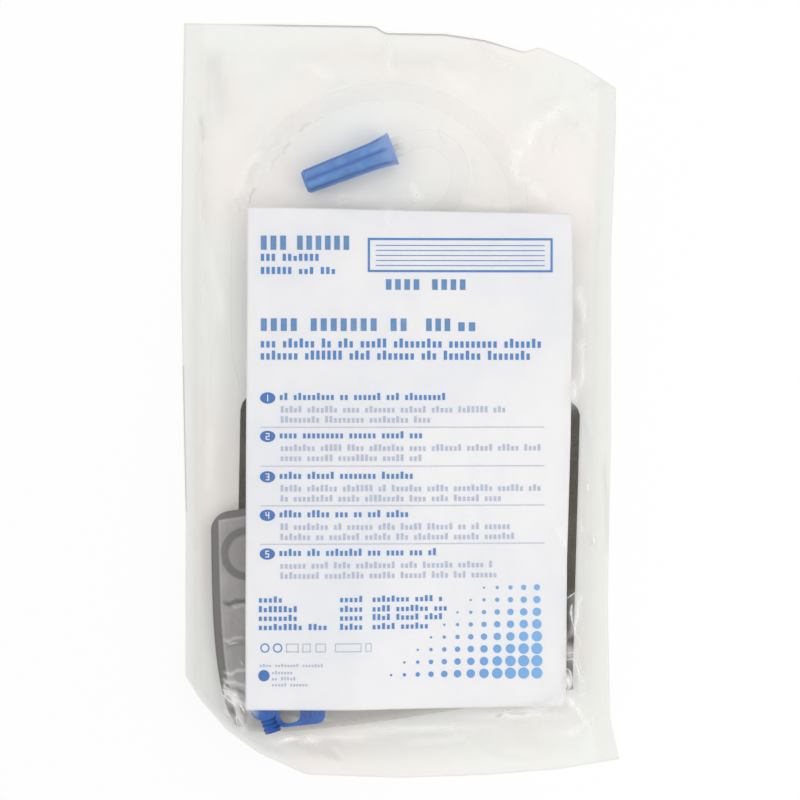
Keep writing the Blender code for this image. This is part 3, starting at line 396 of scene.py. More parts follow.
# %% Cap surface
CAP_RINGS, CAP_SIDES = 90, 160
outside = CAP_LENGTH * (1 - np.cos(np.linspace(0, math.pi, CAP_RINGS))) / 2
inside = CAP_LENGTH - np.array([0.0, CAP_CHAMFER, CAP_BORE_DEPTH, CAP_BORE_DEPTH])
bore = np.array([CAP_BORE + CAP_WALL, CAP_BORE, CAP_BORE - CAP_DRAFT, AXIS_HOLE])
turn = np.linspace(0, 2 * math.pi, CAP_SIDES, endpoint=False)
grooved = np.clip(outside / CAP_SHOULDER, LEAST_GROOVE, 1)
grooved = grooved * np.clip((CAP_LENGTH - CAP_RIM - outside) / GROOVE_FADE, 0, 1)
narrow = RIB_POWER + RIB_POWER_RISE * outside / CAP_LENGTH
groove = grooved[:, None] * (0.5 + 0.5 * np.cos(CAP_FLUTES * turn)) ** narrow[:, None]
radii = cap_radius(outside)[:, None] - CAP_FLUTE * groove
closed_end = np.full((1, CAP_SIDES), AXIS_HOLE)
radii = np.concatenate([closed_end, radii, np.broadcast_to(bore[:, None], (4, CAP_SIDES))])
distance = np.concatenate([[0.0], outside, inside])[:, None, None]
spoke = np.sin(turn)[:, None] * cap_side + np.cos(turn)[:, None] * cap_up
cap_points = CAP_CLOSED_END + cap_run * distance + spoke * radii[..., None]
ring = np.arange(radii.size).reshape(radii.shape)
ahead = np.roll(ring, -1, axis=1)
cap_faces = np.stack([ring[:-1], ring[1:], ahead[1:], ahead[:-1]], axis=-1).reshape(-1, 4)
# painted shade in the grooves and at the closed end, and a painted highlight at the mouth, kept on the points
end_shade = END_SHADE * (1 - grooved) * (outside < CAP_SHOULDER)
groove_all = np.concatenate([np.full((1, CAP_SIDES), CENTRE_SHADE), np.maximum(groove, end_shade[:, None]),
                             np.ones((4, CAP_SIDES))])
mouth = np.clip((distance[..., 0] / CAP_LENGTH - MOUTH_FROM) / (1 - MOUTH_FROM), 0, 1) + 0 * groove_all
cap = put_mesh("protective_cap_ribbed", cap_points, cap_faces[:, ::-1], cap_plastic,
               groove=groove_all, mouth=MOUTH_SHADE * mouth)
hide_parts("protective_cap")
print("cap is", round(CAP_LENGTH * 1000, 1), "mm long with", len(cap.data.vertices), "points")

# %% [markdown]
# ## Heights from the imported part
#
# The printed sheet and the clear film lie over everything else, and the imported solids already
# say how high they are at each place. A cloth simulation could find that too, but it is slower
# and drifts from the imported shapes. A relief map holds it: a raster of one-millimetre cells with
# the highest point in each. Weighted sums of a triangle's three corners give a whole lattice of
# points inside it, so one array expression fills the raster.

# %% Relief maps
CELL, MARGIN = 0.001, 0.005
MAP_LOW = np.array(cad_box[0][:2]) - MARGIN
MAP_SIZE = tuple(np.ceil((np.array(cad_box[1][:2]) + MARGIN - MAP_LOW) / CELL).astype(int) + 1)
map_x = MAP_LOW[0] + CELL * np.arange(MAP_SIZE[0])[:, None] + np.zeros(MAP_SIZE)
map_y = MAP_LOW[1] + CELL * np.arange(MAP_SIZE[1])[None, :] + np.zeros(MAP_SIZE)


def relief(points):
    """Highest Z of the points in each cell of the map, and 0 where there are none."""
    cell = np.round((points[:, :2] - MAP_LOW) / CELL).astype(int)
    high = np.zeros(MAP_SIZE)
    np.maximum.at(high, (cell[:, 0], cell[:, 1]), points[:, 2])
    return high


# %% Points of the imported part
def node_points(name, steps=18):
    """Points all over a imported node: each triangle's corners in every mix of steps parts."""
    mesh = frame["nodes"][name].data
    mesh.calc_loop_triangles()
    corners = np.zeros(len(mesh.vertices) * 3)
    mesh.vertices.foreach_get("co", corners)
    triangles = np.zeros(len(mesh.loop_triangles) * 3, int)
    mesh.loop_triangles.foreach_get("vertices", triangles)
    i, j = (k.ravel() for k in np.meshgrid(np.arange(steps + 1), np.arange(steps + 1), indexing="ij"))
    i, j = i[i + j <= steps], j[i + j <= steps]
    weights = np.stack([i, j, steps - i - j], axis=1) / steps
    return (weights @ corners.reshape(-1, 3)[triangles].reshape(-1, 3, 3)).reshape(-1, 3)


# %% Working with maps
def softened(field, cells, rounds=3):
    """A map evened out: the mean over a square of cells, several times, which is close to a bell."""
    for _ in range(rounds):
        for axis in (0, 1):
            wide = np.pad(field, [(cells, cells) if k == axis else (0, 0) for k in (0, 1)], mode="edge")
            total = np.cumsum(np.insert(wide, 0, 0.0, axis=axis), axis=axis)
            upper = np.take(total, range(2 * cells + 1, total.shape[axis]), axis=axis)
            lower = np.take(total, range(0, total.shape[axis] - 2 * cells - 1), axis=axis)
            field = (upper - lower) / (2 * cells + 1)
    return field


def sample(field, x, y):
    """A map's value between its cells: the four nearest cells, weighed by nearness."""
    u = np.clip((x - MAP_LOW[0]) / CELL, 0, MAP_SIZE[0] - 1.001)
    v = np.clip((y - MAP_LOW[1]) / CELL, 0, MAP_SIZE[1] - 1.001)
    i, j = u.astype(int), v.astype(int)
    p, q = u - i, v - j
    low = field[i, j] * (1 - p) + field[i + 1, j] * p
    high = field[i, j + 1] * (1 - p) + field[i + 1, j + 1] * p
    return low * (1 - q) + high * q


def swept_points(name, joint, steps=61):
    """A node's points in every place of its upright hinge: turned about the axis in small steps."""
    points, pivot = node_points(name, 3), np.array(joint["pos_m"])
    turn = np.radians(np.linspace(*joint["range_deg"], steps))[:, None]
    across, up = points[:, 0] - pivot[0], points[:, 1] - pivot[1]
    x = pivot[0] + across * np.cos(turn) - up * np.sin(turn)
    y = pivot[1] + across * np.sin(turn) + up * np.cos(turn)
    return np.stack([x, y, np.broadcast_to(points[:, 2], x.shape)], axis=-1).reshape(-1, 3)


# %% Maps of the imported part
film_map = relief(node_points("clear_film"))
sheet_map = relief(node_points("printed_sheet"))
HARD_NODES = ("protective_cap", "tap_lever", "tap_body", "inlet_tube", "outlet_tube")
hard_map = np.maximum.reduce([relief(node_points(name, 4)) for name in HARD_NODES])
lever_room = relief(swept_points("tap_lever", frame["joints"][0]))
highest = np.round([film_map.max() * 1000, sheet_map.max() * 1000], 1)
print("film up to", highest[0], "mm, sheet up to", highest[1], "mm")

# %% [markdown]
# ## The bag
#
# The bag is three sheets welded round their edge: a nonwoven that lies against the leg, and two
# films behind it. It is folded once, so that its lower part lies over its upper part with the
# film side up. A simulated fold would not end where the pack holds it, so the shape is one
# function of two parameters: s runs across the bag, and v runs down the panel (0 to 1), round the
# fold (1 to 2) and up the flap (2 to 3). A layer is that function at its own distance from the
# middle of the fold.

# %% Bag shape
BAG_WIDTH, PANEL_LENGTH = 0.1411, 0.1264
FOLD_SAG, FLAP_BULGE = 0.0047, 0.0044
CORNER_RADIUS, WELD, GAP = 0.007, 0.003, 0.0003
TOWARDS_WELDS = 0.11  # how far the grid's lines are drawn towards the welds
BEND_RADIUS, NONWOVEN_THICKNESS, BAG_FILM = 0.0006, 0.0004, 0.0003
POCKET = 0.00095
PORT_RISE, PORT_SPREAD = 0.00595, (0.019, 0.026)
PAPER_THICKNESS = 0.0003
BACK_FACE = BEND_RADIUS + NONWOVEN_THICKNESS + GAP + BAG_FILM


def bag_edge(middle, turn):
    """The two ends of an edge that runs straight across the bag, turned by so many degrees."""
    half = np.array([math.cos(math.radians(turn)), math.sin(math.radians(turn))]) * BAG_WIDTH / 2
    return np.array([middle - half, middle + half])


PANEL_TOP = bag_edge(np.array([0.00435, 0.00125]), -1.3)
FOLD = bag_edge(np.array([0.0015, 0.00125 - PANEL_LENGTH]), 5.8)
FLAP_END = bag_edge(np.array([-0.0087, -0.0358]), 9.3)


def rounded(across, down):
    """Draws points near a square corner onto quarter rings round the corner's centre."""
    p = np.clip(CORNER_RADIUS - across, 0, CORNER_RADIUS)
    q = np.clip(CORNER_RADIUS - down, 0, CORNER_RADIUS)
    pull = np.maximum(p, q) / np.maximum(np.hypot(p, q), 1e-9)
    in_corner = p * q > 0
    across = np.where(in_corner, CORNER_RADIUS - p * pull, across)
    return across, np.where(in_corner, CORNER_RADIUS - q * pull, down)


def outward(edge, upwards):
    """Middle of an edge of the bag and the direction that leads out of it."""
    left, right = edge
    run = (right - left) / np.linalg.norm(right - left)
    return (left + right) / 2, np.array([-run[1], run[0]]) if upwards else np.array([run[1], -run[0]])


def port_rise(plan, edge):
    """The films are spread round a port by a bell: the product of two Gaussian curves."""
    middle, out = outward(edge, True)
    offset = plan - middle
    across, inside = offset @ np.array([out[1], -out[0]]), offset @ out
    return PORT_RISE * np.exp(-((across / PORT_SPREAD[0]) ** 2) - (inside / PORT_SPREAD[1]) ** 2)


# %% Bag plan
def bag_plan(s, v):
    """Plan of the folded bag, and each point's distances to the nearest weld and side.

    Panel and flap are ruled between straight ends. The fold sags by a sine of the root of s,
    and the flap's left side bulges by a sine up the flap, fading with the square of 1 - s."""
    top, fold, end = PANEL_TOP, FOLD, FLAP_END
    panel_length = np.linalg.norm(fold.mean(0) - top.mean(0))
    flap_length = np.linalg.norm(end.mean(0) - fold.mean(0))
    side = np.minimum(s, 1 - s) * BAG_WIDTH
    side_a, down = rounded(side, np.clip(v, 0, 1) * panel_length)
    side_b, up = rounded(side, np.clip(3 - v, 0, 1) * flap_length)
    side = np.where(v <= 1, side_a, np.where(v >= 2, side_b, side))
    s = np.where(s <= 0.5, side / BAG_WIDTH, 1 - side / BAG_WIDTH)[..., None]
    main_v = np.where(v < 1, down / panel_length, 1.0)[..., None]
    flap_v = np.where(v > 2, 1 - up / flap_length, 0.0)[..., None]
    _, out = outward(FOLD, False)
    fold_at = fold[0] + s * (fold[1] - fold[0]) + out * FOLD_SAG * np.sin(math.pi * np.sqrt(s))
    top_at = top[0] + s * (top[1] - top[0])
    end_at = end[0] + s * (end[1] - end[0])
    bulge = FLAP_BULGE * (1 - s) ** 2 * np.sin(math.pi * np.clip(flap_v, 0, 1) ** 0.6)
    panel = top_at + (fold_at - top_at) * main_v
    flap = fold_at + (end_at - fold_at) * flap_v - np.array([1.0, 0.0]) * bulge
    edge = np.minimum(side, np.where(v <= 1, down, np.where(v >= 2, up, side)))
    return np.where(v[..., None] <= 1.0, panel, flap), edge, side


# %% Heights of the bag
def empty_pocket(edge):
    """Gap between the bag's films away from the ports: shut at the weld, open a weld's width on."""
    return GAP + (POCKET - GAP) * np.clip((edge - WELD) / WELD, 0, 1)


def bag_points(s, v, base, share, detail=0.0):
    """A layer of the bag: base plus share of the pocket away from the fold's middle, plus detail."""
    plan, edge, side = bag_plan(s, v)
    on_panel, on_flap = v <= 1, v >= 2
    lift = np.where(on_panel | on_flap, port_rise(plan, PANEL_TOP), 0.0)
    hollow = empty_pocket(edge) + np.where(on_panel, lift, np.where(on_flap, port_rise(plan, FLAP_END), 0.0))
    depth = base + share * hollow + detail
    under = np.where(on_panel, hollow, empty_pocket(side) + lift)
    turn = np.clip(v - 1, 0, 1) * math.pi
    _, out = outward(FOLD, False)
    plan = plan + out * (depth * np.sin(turn))[..., None]
    middle = PAPER_THICKNESS + GAP + BACK_FACE + under + BAG_FILM
    return lifted(plan, middle - depth * np.cos(turn))


def bag_grid(columns, panel_rows, fold_rows, flap_rows):
    """Parameters of a layer, with more lines near the welds, where the pocket opens."""
    even = np.linspace(0, 1, columns)
    s = even - TOWARDS_WELDS * np.sin(2 * math.pi * even)
    v = np.concatenate([np.linspace(0, 1, panel_rows, endpoint=False),
                        np.linspace(1, 2, fold_rows, endpoint=False), np.linspace(2, 3, flap_rows)])
    return np.meshgrid(s, v, indexing="ij")


# %% [markdown]
# ### Welds and creases of the flap
#
# The weld round the bag is pressed flat and looks darker, because there the film touches the
# nonwoven. A ring weld sits in the corner of the flap. Below it the film is creased across and
# crumpled towards the fold. A bump texture could show all that, but light on a crease that is
# really raised is right from every side. So each is a function of the plan: a band at a distance
# from an edge or from a circle, or a narrow ridge along a line that wanders. The colour adds
# painted light as well: a painted highlight along each pale crease and painted shade along each
# dark one, and a painted highlight just inside the weld. Darker lines run along the cut edge and
# the weld's inner edge, and the crumpled part towards the fold is painted paler.

# %% Flap detail
WELD_DEPTH = 0.00012
CRUMPLE_FROM, CRUMPLE_RAMP, CRUMPLE_HEIGHT = -0.1125, 0.006, 0.00010  # Y where it starts, and below it
RING_CENTRE = (-0.0631, -0.0635)
RING_RADIUS, RING_BAND = 0.0094, 0.0033
CREASE_WANDER = 0.0006
CRINKLE = ((900, 500, 0.0), (620, -840, 1.0), (1500, 260, 2.0))  # waves: across, up, and start
# GLEAM is a band of painted highlight just inside the weld; CUT_EDGE and WELD_EDGE are darker lines along the
# cut edge and the weld's inner edge
GLEAM, CUT_EDGE, WELD_EDGE = (WELD + 0.0007, 0.0006), (0.0, 0.0012), (WELD - 0.0002, 0.0008)
# the tone is painted light: 1 a painted highlight along the crease, -1 painted shade
CREASES = [  # from, to, height and width of a ridge across the flap, and its tone: 1 pale, -1 dark
    ((-0.0742, -0.0835), (-0.0610, -0.0836), 0.0009, 0.0009, -1.0),
    ((-0.0700, -0.0848), (-0.0600, -0.0856), 0.0004, 0.0007, 0.5),
    ((-0.0735, -0.0992), (-0.0630, -0.0985), 0.0005, 0.0007, 0.6),
    ((-0.0735, -0.1008), (-0.0610, -0.1012), 0.0002, 0.0008, -0.3),
    ((-0.0735, -0.1128), (-0.0600, -0.1118), 0.0005, 0.0007, 0.9),
    ((-0.0738, -0.1152), (-0.0620, -0.1190), 0.0008, 0.0007, 1.0),
    ((-0.0730, -0.1172), (-0.0630, -0.1225), 0.0003, 0.0008, -0.7),
    ((-0.0735, -0.1190), (-0.0640, -0.1262), 0.0009, 0.0008, 1.0),
    ((-0.0725, -0.1165), (-0.0700, -0.1235), 0.0005, 0.0006, 0.9),
    ((-0.0680, -0.1230), (-0.0668, -0.1330), 0.0006, 0.0010, 0.7),
    ((-0.0655, -0.1260), (-0.0640, -0.1350), 0.0003, 0.0009, -0.4),
    ((-0.0450, -0.1290), (-0.0380, -0.1370), 0.0006, 0.0012, 0.6),
    ((-0.0320, -0.1300), (-0.0290, -0.1360), 0.0006, 0.0012, 0.6),
]


def band(distance, middle, width, soft=0.0006):
    """1 within half a width of middle, falling to 0 over a soft margin."""
    return np.clip((width / 2 + soft / 2 - np.abs(distance - middle)) / soft, 0, 1)


def ridge(x, y, start, end, width, wander=0.0):
    """A bell across a line from start to end, which fades out at both ends and wanders by a sine."""
    a, b = np.array(start), np.array(end)
    run = b - a
    length = np.linalg.norm(run)
    along = ((x - a[0]) * run[0] + (y - a[1]) * run[1]) / length**2
    across = ((x - a[0]) * -run[1] + (y - a[1]) * run[0]) / length
    across = across - wander * np.sin(along * 7.0 + 40.0 * a[0]) - 0.4 * wander * np.sin(along * 17.0)
    fade = np.clip(along * (1 - along) * 6, 0, 1)
    return np.exp(-((across / width) ** 2)) * fade


# %% Marks on the flap
def flap_marks(plan, edge, v):
    """Weld, crumple, painted highlight and painted shade shares, and the height of the detail, on the bag's
    outer film.
    """
    x, y = plan[..., 0], plan[..., 1]
    on_flap = v > 2
    away = np.hypot(x - RING_CENTRE[0], y - RING_CENTRE[1])
    weld = np.maximum(band(edge, 0.0, 2 * WELD), band(away, RING_RADIUS, RING_BAND) * on_flap)
    height = -WELD_DEPTH * weld
    # a painted highlight just inside the weld, and darker lines at the cut edge and the weld's inner edge
    pale = 0.22 * band(edge, *GLEAM)
    dark = 0.6 * band(edge, *CUT_EDGE) + 0.5 * band(edge, *WELD_EDGE)
    # each crease also carries painted light: a painted highlight for a pale tone, painted shade for a dark
    # one
    for start, end, rise, width, tone in CREASES:
        line = ridge(x, y, start, end, width, CREASE_WANDER) * on_flap
        height = height + rise * line
        pale = pale + max(tone, 0.0) * line
        dark = dark + max(-tone, 0.0) * line
    crumple = np.clip((CRUMPLE_FROM - y) / CRUMPLE_RAMP, 0, 1) * (v > 1.5)
    one, two, three = (np.sin(a * x + b * y + c) for a, b, c in CRINKLE)
    crinkle = one * two + three
    height = height + CRUMPLE_HEIGHT * crinkle * crumple
    return weld, crumple, np.clip(pale, 0, 1), np.clip(dark, 0, 1), height


# %% [markdown]
# ### The bag's finishes
#
# The film is soft grey vinyl with a low sheen, mottled where it clings to the cloth behind it. The
# nonwoven is a dark web of short fibres. They could be hairs, but at this distance no one can tell
# them apart, so stretched noise in two directions makes a colour and a bump that look like laid
# threads.

# %% Bag finishes
bag_film = Finish("bag_film", screen(150, 146, 147), 0.34, Specular_IOR_Level=0.45)
# the pale tint is a painted highlight and the dark tint painted shade with darker edge lines; the crumple
# tint makes the part towards the fold paler
bag_film.paint((55.0, 5.0, 0.6), (0.4, 0.62), screen(149, 144, 144), screen(165, 161, 161),
               crumple=screen(190, 187, 181), weld=screen(104, 101, 99), dark=screen(84, 80, 79),
               pale=screen(222, 221, 218))
bag_film.roughen((120.0, 3.0), (0.35, 0.65), 0.26, 0.46)
bag_film.bump(bag_film.noise(260.0, 4.0), 0.00018, 0.5)

web = Finish("nonwoven_web", screen(82, 76, 68), 0.92, Sheen_Weight=0.15)
strands = web.sums(web.noise(420.0, 4.0, 1.2, web.place((3.0, 0.35, 1.0), 0.5)),
                   web.noise(420.0, 4.0, 1.2, web.place((0.35, 3.0, 1.0), -0.3)), "MAXIMUM")
web.link(web.mixed(web.spread(strands, 0.42, 0.72), screen(33, 27, 6), screen(75, 66, 38)),
         web.skin.inputs["Base Color"])
web.bump(strands, 0.00025, 0.8)

# %% Front film
s, v = bag_grid(130, 60, 14, 190)
plan, edge, _ = bag_plan(s, v)
weld, crumple, pale, dark, height = flap_marks(plan, edge, v)
front = put_mesh("bag_front_film_skin", bag_points(s, v, BACK_FACE + BAG_FILM / 2, 1.0, height),
                 grid_faces(*s.shape)[:, ::-1], bag_film, weld=weld, crumple=crumple, pale=pale, dark=dark)
thicken(front, BAG_FILM * 0.8)
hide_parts("bag_front_film")
bag_top = bag_points(s, v, BACK_FACE + BAG_FILM, 1.0, height).reshape(-1, 3)

# %% Back film and nonwoven
s, v = bag_grid(70, 40, 10, 60)
_, edge, _ = bag_plan(s, v)
back = put_mesh("bag_back_film_skin", bag_points(s, v, BACK_FACE - BAG_FILM / 2, 0.0),
                grid_faces(*s.shape), bag_film, weld=band(edge, 0.0, 2 * WELD), crumple=0 * edge,
                pale=0 * edge, dark=0 * edge)
thicken(back, BAG_FILM * 0.8)
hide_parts("bag_back_film")
cloth = put_mesh("bag_nonwoven_web", bag_points(s, v, BEND_RADIUS + NONWOVEN_THICKNESS / 2, 0.0),
                 grid_faces(*s.shape), web)
thicken(cloth, NONWOVEN_THICKNESS * 0.9)
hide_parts("bag_nonwoven")
print("bag film has", len(front.data.vertices), "points")

# %% [markdown]
# ## The pouch's outline
#
# Paper and film are cut to one outline. It could be one face with many corners, but that can't
# bend. So its four sides are short runs of points, and a Coons patch fills them with a grid: the
# sum of the two ruled surfaces between opposite sides, less the flat patch between the corners.

# %% Pouch plan
POUCH_HALF, POUCH_HEAD, POUCH_FOOT = 0.0912, 0.1569, -0.1573
HEAD_DROP = [(-0.985, 0.0), (-0.114, 0.0012), (-0.068, 0.0041), (0.204, 0.0045), (0.386, 0.0070),
             (0.568, 0.0120), (0.636, 0.0099), (0.817, 0.0170), (0.985, 0.0269)]
FOOT_RISE = [(-0.979, 0.0426), (-0.912, 0.0327), (-0.792, 0.0200), (-0.645, 0.0103), (-0.427, 0.0013),
             (0.0, 0.0), (0.399, 0.0012), (0.731, 0.0037), (1.0, 0.0078)]
LEFT_INSET = [(0.0, 0.0019), (0.247, 0.0020), (0.438, 0.0009), (0.621, 0.0), (0.811, 0.0005), (1.0, 0.0014)]
RIGHT_INSET = [(0.0, 0.0), (0.061, 0.0037), (0.238, 0.0047), (0.475, 0.0034), (0.742, 0.0034),
               (0.830, 0.0026), (0.934, 0.0014), (1.0, 0.0014)]


def side_run(insets, side, foot, head):
    """A side of the pouch: steps are shares of its own length, insets are lengths."""
    return [(side * (POUCH_HALF - inset), foot + share * (head - foot)) for share, inset in insets]


POUCH_TOP = [(share * POUCH_HALF, POUCH_HEAD - drop) for share, drop in HEAD_DROP]
POUCH_BOTTOM = [(share * POUCH_HALF, POUCH_FOOT + rise) for share, rise in FOOT_RISE]
POUCH_LEFT = side_run(LEFT_INSET, -1, POUCH_BOTTOM[0][1], POUCH_TOP[0][1])
POUCH_RIGHT = side_run(RIGHT_INSET, 1, POUCH_BOTTOM[-1][1], POUCH_TOP[-1][1])
SIDE_SEAL = 0.008


# %% Runs of points
def along(points, fractions):
    """Points at these fractions of a polyline's length."""
    points = np.array(points, float)
    steps = np.linalg.norm(np.diff(points, axis=0), axis=1)
    reach = np.concatenate([[0.0], np.cumsum(steps)]) / steps.sum()
    return np.stack([np.interp(fractions, reach, points[:, k]) for k in range(points.shape[1])], axis=1)


def eased(points, reach=5, count=400):
    """A cut edge with its corners rounded: the mean of the polyline over a short window.

    The polyline is turned over at both ends, so that a mean there leaves the end where it is."""
    fine = along(points, np.linspace(0, 1, count))
    before, after = 2 * fine[:1] - fine[reach:0:-1], 2 * fine[-1:] - fine[-2:-reach - 2:-1]
    wide = np.concatenate([before, fine, after])
    bell = np.hanning(2 * reach + 3)[1:-1]
    return np.stack([np.convolve(wide[:, k], bell / bell.sum(), mode="valid") for k in (0, 1)], axis=1)


POUCH_TOP, POUCH_BOTTOM = eased(POUCH_TOP), eased(POUCH_BOTTOM)
print("pouch is", round((POUCH_HEAD - POUCH_FOOT) * 1000, 1), "mm long")


# %% Patch between four sides
def patch(top, bottom, left, right, us, vs):
    """Coons patch between four sides, us across and vs from bottom to top."""
    low, high = along(bottom, us), along(top, us)
    near, far = along(left, vs), along(right, vs)
    u, v = us[:, None, None], vs[None, :, None]
    ruled = (1 - v) * low[:, None] + v * high[:, None] + (1 - u) * near[None] + u * far[None]
    corners = (1 - u) * (1 - v) * low[0] + u * (1 - v) * low[-1] + (1 - u) * v * high[0] + u * v * high[-1]
    return ruled - corners


def pouch_plan(columns, rows):
    """The pouch's patch with so many even columns and rows."""
    return patch(POUCH_TOP, POUCH_BOTTOM, POUCH_LEFT, POUCH_RIGHT,
                 np.linspace(0, 1, columns), np.linspace(0, 1, rows))


# %% [markdown]
# ### The paper back
#
# Medical paper is white, matte and a little fibrous, with faint warm and cool clouds over it. Where
# the film is sealed to it, it is a shade darker. A thin grey line of painted shade runs along its top
# edge and part of its left edge. Both could be painted on an image, but shares kept on the grid's
# points follow the outline by themselves.

# %% Paper back
paper = Finish("medical_paper", screen(240, 238, 234), 0.78)
# the edge tint is painted shade, a thin grey line along the top and left edges
paper.paint((17.0, 4.0, 0.5), (0.38, 0.62), screen(248, 243, 239), screen(242, 244, 240),
            seal=screen(239, 240, 235), rim=screen(178, 178, 172))
paper.bump(paper.noise(1500.0, 2.0), 0.00004, 0.7)

PAPER_COLUMNS, PAPER_ROWS = 165, 280
RIM = 0.0011  # width of the line of painted shade along the cut edge
RIM_FROM, RIM_TO, RIM_FADE = -0.070, 0.056, 0.02  # X of its stretch at the top, and how it fades
LEFT_RIM_MIDDLE, LEFT_RIM_REACH = -0.016, 0.03
SEAL_SOFT = 0.0012
plan = pouch_plan(PAPER_COLUMNS, PAPER_ROWS)
from_left = np.arange(PAPER_COLUMNS)[:, None] / (PAPER_COLUMNS - 1) * 2 * POUCH_HALF + 0 * plan[..., 0]
from_top = (1 - np.arange(PAPER_ROWS) / (PAPER_ROWS - 1))[None] * (POUCH_HEAD - POUCH_FOOT) + 0 * plan[..., 0]
in_seal = np.clip((SIDE_SEAL - np.minimum(from_left, 2 * POUCH_HALF - from_left)) / SEAL_SOFT + 0.5, 0, 1)
# painted shade: a thin grey line along the top edge and part of the left edge
on_rim = np.clip(1 - from_top / RIM, 0, 1) * np.clip((plan[..., 0] - RIM_FROM) / RIM_FADE, 0, 1)
on_rim = on_rim * np.clip((RIM_TO - plan[..., 0]) / RIM_FADE, 0.0, 1)
left_rim = np.clip(1 - from_left / RIM, 0, 1) * (np.abs(plan[..., 1] - LEFT_RIM_MIDDLE) < LEFT_RIM_REACH)
paper_back = put_mesh("paper_back", lifted(plan, PAPER_THICKNESS / 2), grid_faces(*plan.shape[:2]), paper,
                      seal=in_seal, rim=np.maximum(on_rim, 0.8 * left_rim))
thicken(paper_back, PAPER_THICKNESS)
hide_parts("backing_paper")
print("paper back has", len(paper_back.data.vertices), "points")

# %% [markdown]
# ## The printed sheet
#
# A sheet of smooth white paper lies loose over the bag. It bridges from the tap to the tubes and
# sags a little between them, as its relief map says. A Shrinkwrap modifier would press it into
# every gap, and paper is too stiff for that, so the map is evened out first. Its plan has slightly
# uneven sides, because it lies bowed under the film.

# %% Sheet plan
SHEET_TOP = [(-0.0627, 0.0792), (0.0708, 0.0768)]
SHEET_BOTTOM = [(-0.0630, -0.1265), (0.0676, -0.1268)]
SHEET_LEFT = [(-0.0630, -0.1265), (-0.0631, -0.0200), (-0.0627, 0.0792)]
SHEET_RIGHT = [(0.0676, -0.1268), (0.0686, -0.1200), (0.0689, -0.0660), (0.0704, -0.0166),
               (0.0714, 0.0410), (0.0708, 0.0768)]
SHEET_THICKNESS = 0.00012
FILL_ROUNDS = 40  # each spreads the known heights by one cell
CLEARANCE = 0.0002  # from what lies under the sheet and the film

# %% Sheet height
sheet_low = np.where(sheet_map > 0, sheet_map, np.nan)
for _ in range(FILL_ROUNDS):
    ring = np.stack([np.roll(sheet_low, step, axis) for step in (-1, 1) for axis in (0, 1)])
    known = np.where(np.isnan(ring), 0, ring).sum(0) / np.maximum((~np.isnan(ring)).sum(0), 1)
    sheet_low = np.where(np.isnan(sheet_low), np.where((~np.isnan(ring)).any(0), known, np.nan), sheet_low)
sheet_low = np.where(np.isnan(sheet_low), 0.0, sheet_low)
below_map = np.maximum(relief(bag_top), hard_map) + CLEARANCE


def dilated(field, cells):
    """The highest value within so many cells, along one axis and then along the other."""
    for axis in (0, 1):
        field = np.maximum.reduce([np.roll(field, step, axis) for step in range(-cells, cells + 1)])
    return field


# paper is stiffer than film: the sheet passes over small shapes, and a mean of the highest values
# within its own reach never falls below any of them
on_sheet_area = sheet_map > 0
sheet_field = np.maximum(sheet_low, dilated(below_map * on_sheet_area, 2))
sheet_field = softened(dilated(sheet_field, 4), 2, 2)


def sheet_height(x, y):
    """Height of the sheet's upper face."""
    return sample(sheet_field, x, y)


# %% Sheet of paper
sheet_paper = Finish("sheet_paper", screen(243, 242, 243), 0.6)
sheet_paper.paint((24.0, 4.0), (0.35, 0.65), screen(234, 235, 239), screen(242, 241, 242))
sheet_paper.bump(sheet_paper.noise(900.0, 3.0), 0.00003, 0.6)
us, vs = np.linspace(0, 1, 150), np.linspace(0, 1, 230)
plan = patch(SHEET_TOP, SHEET_BOTTOM, SHEET_LEFT, SHEET_RIGHT, us, vs)
top = sheet_height(plan[..., 0], plan[..., 1])
sheet_piece = put_mesh("printed_sheet_paper", lifted(plan, top), grid_faces(*plan.shape[:2]), sheet_paper)
thicken(sheet_piece, SHEET_THICKNESS, -1.0)
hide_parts("printed_sheet")
print("sheet lies", np.round([top.min() * 1000, top.max() * 1000], 1), "mm high")

# %% [markdown]
# ### The print
#
# The print stays plain and carries no lettering: a line of text becomes a row of small blocks, one
# in the place of each letter, with a gap after each word. From a distance such a row has the grain
# and the tone of small print. An image texture would blur close up, and text objects would be
# heavy. So a block is one thin quad that lies just over the paper, and all the blocks of one ink
# are one mesh, worked out from arrays of their corners.

# %% Print helpers
INK_LIFT = 0.00012
INK_LIGHTER = 1.18
BLOCK_WIDTH, BLOCK_DROP = 0.6, 0.3  # shares of the pitch, and of the line's height
PRINT_SEED = 7
rng = np.random.default_rng(PRINT_SEED)


def pixel_place(x, y):
    """Place in the pack of a pixel of the 800-pixel image, at the scale of the camera."""
    return (np.asarray(x, float) - 400) * PIXEL, (400 - np.asarray(y, float)) * PIXEL


def on_sheet(x, y):
    """Places just over the sheet's upper face."""
    return np.stack([x, y, sheet_height(x, y) + INK_LIFT], axis=-1)


def line_blocks(left, right, top, bottom, pitch, words=(2, 9), tall=0.3):
    """The blocks of one line of print, pitch apart, with a gap after each word.

    A block is 0.6 of the pitch wide. A share of them, tall, is as high as the line, and the others
    are seven tenths of that."""
    count = max(1, int((right - left) / pitch))
    starts = left + pitch * np.arange(count)
    gaps = np.cumsum(rng.integers(words[0], words[1] + 1, count) + 1) - 1
    starts = starts[~np.isin(np.arange(count), gaps)]
    high = np.where(rng.random(len(starts)) < tall, top, top + (bottom - top) * BLOCK_DROP)
    low = np.full(len(starts), float(bottom))
    return np.stack([starts, low, starts + BLOCK_WIDTH * pitch, high], axis=1)


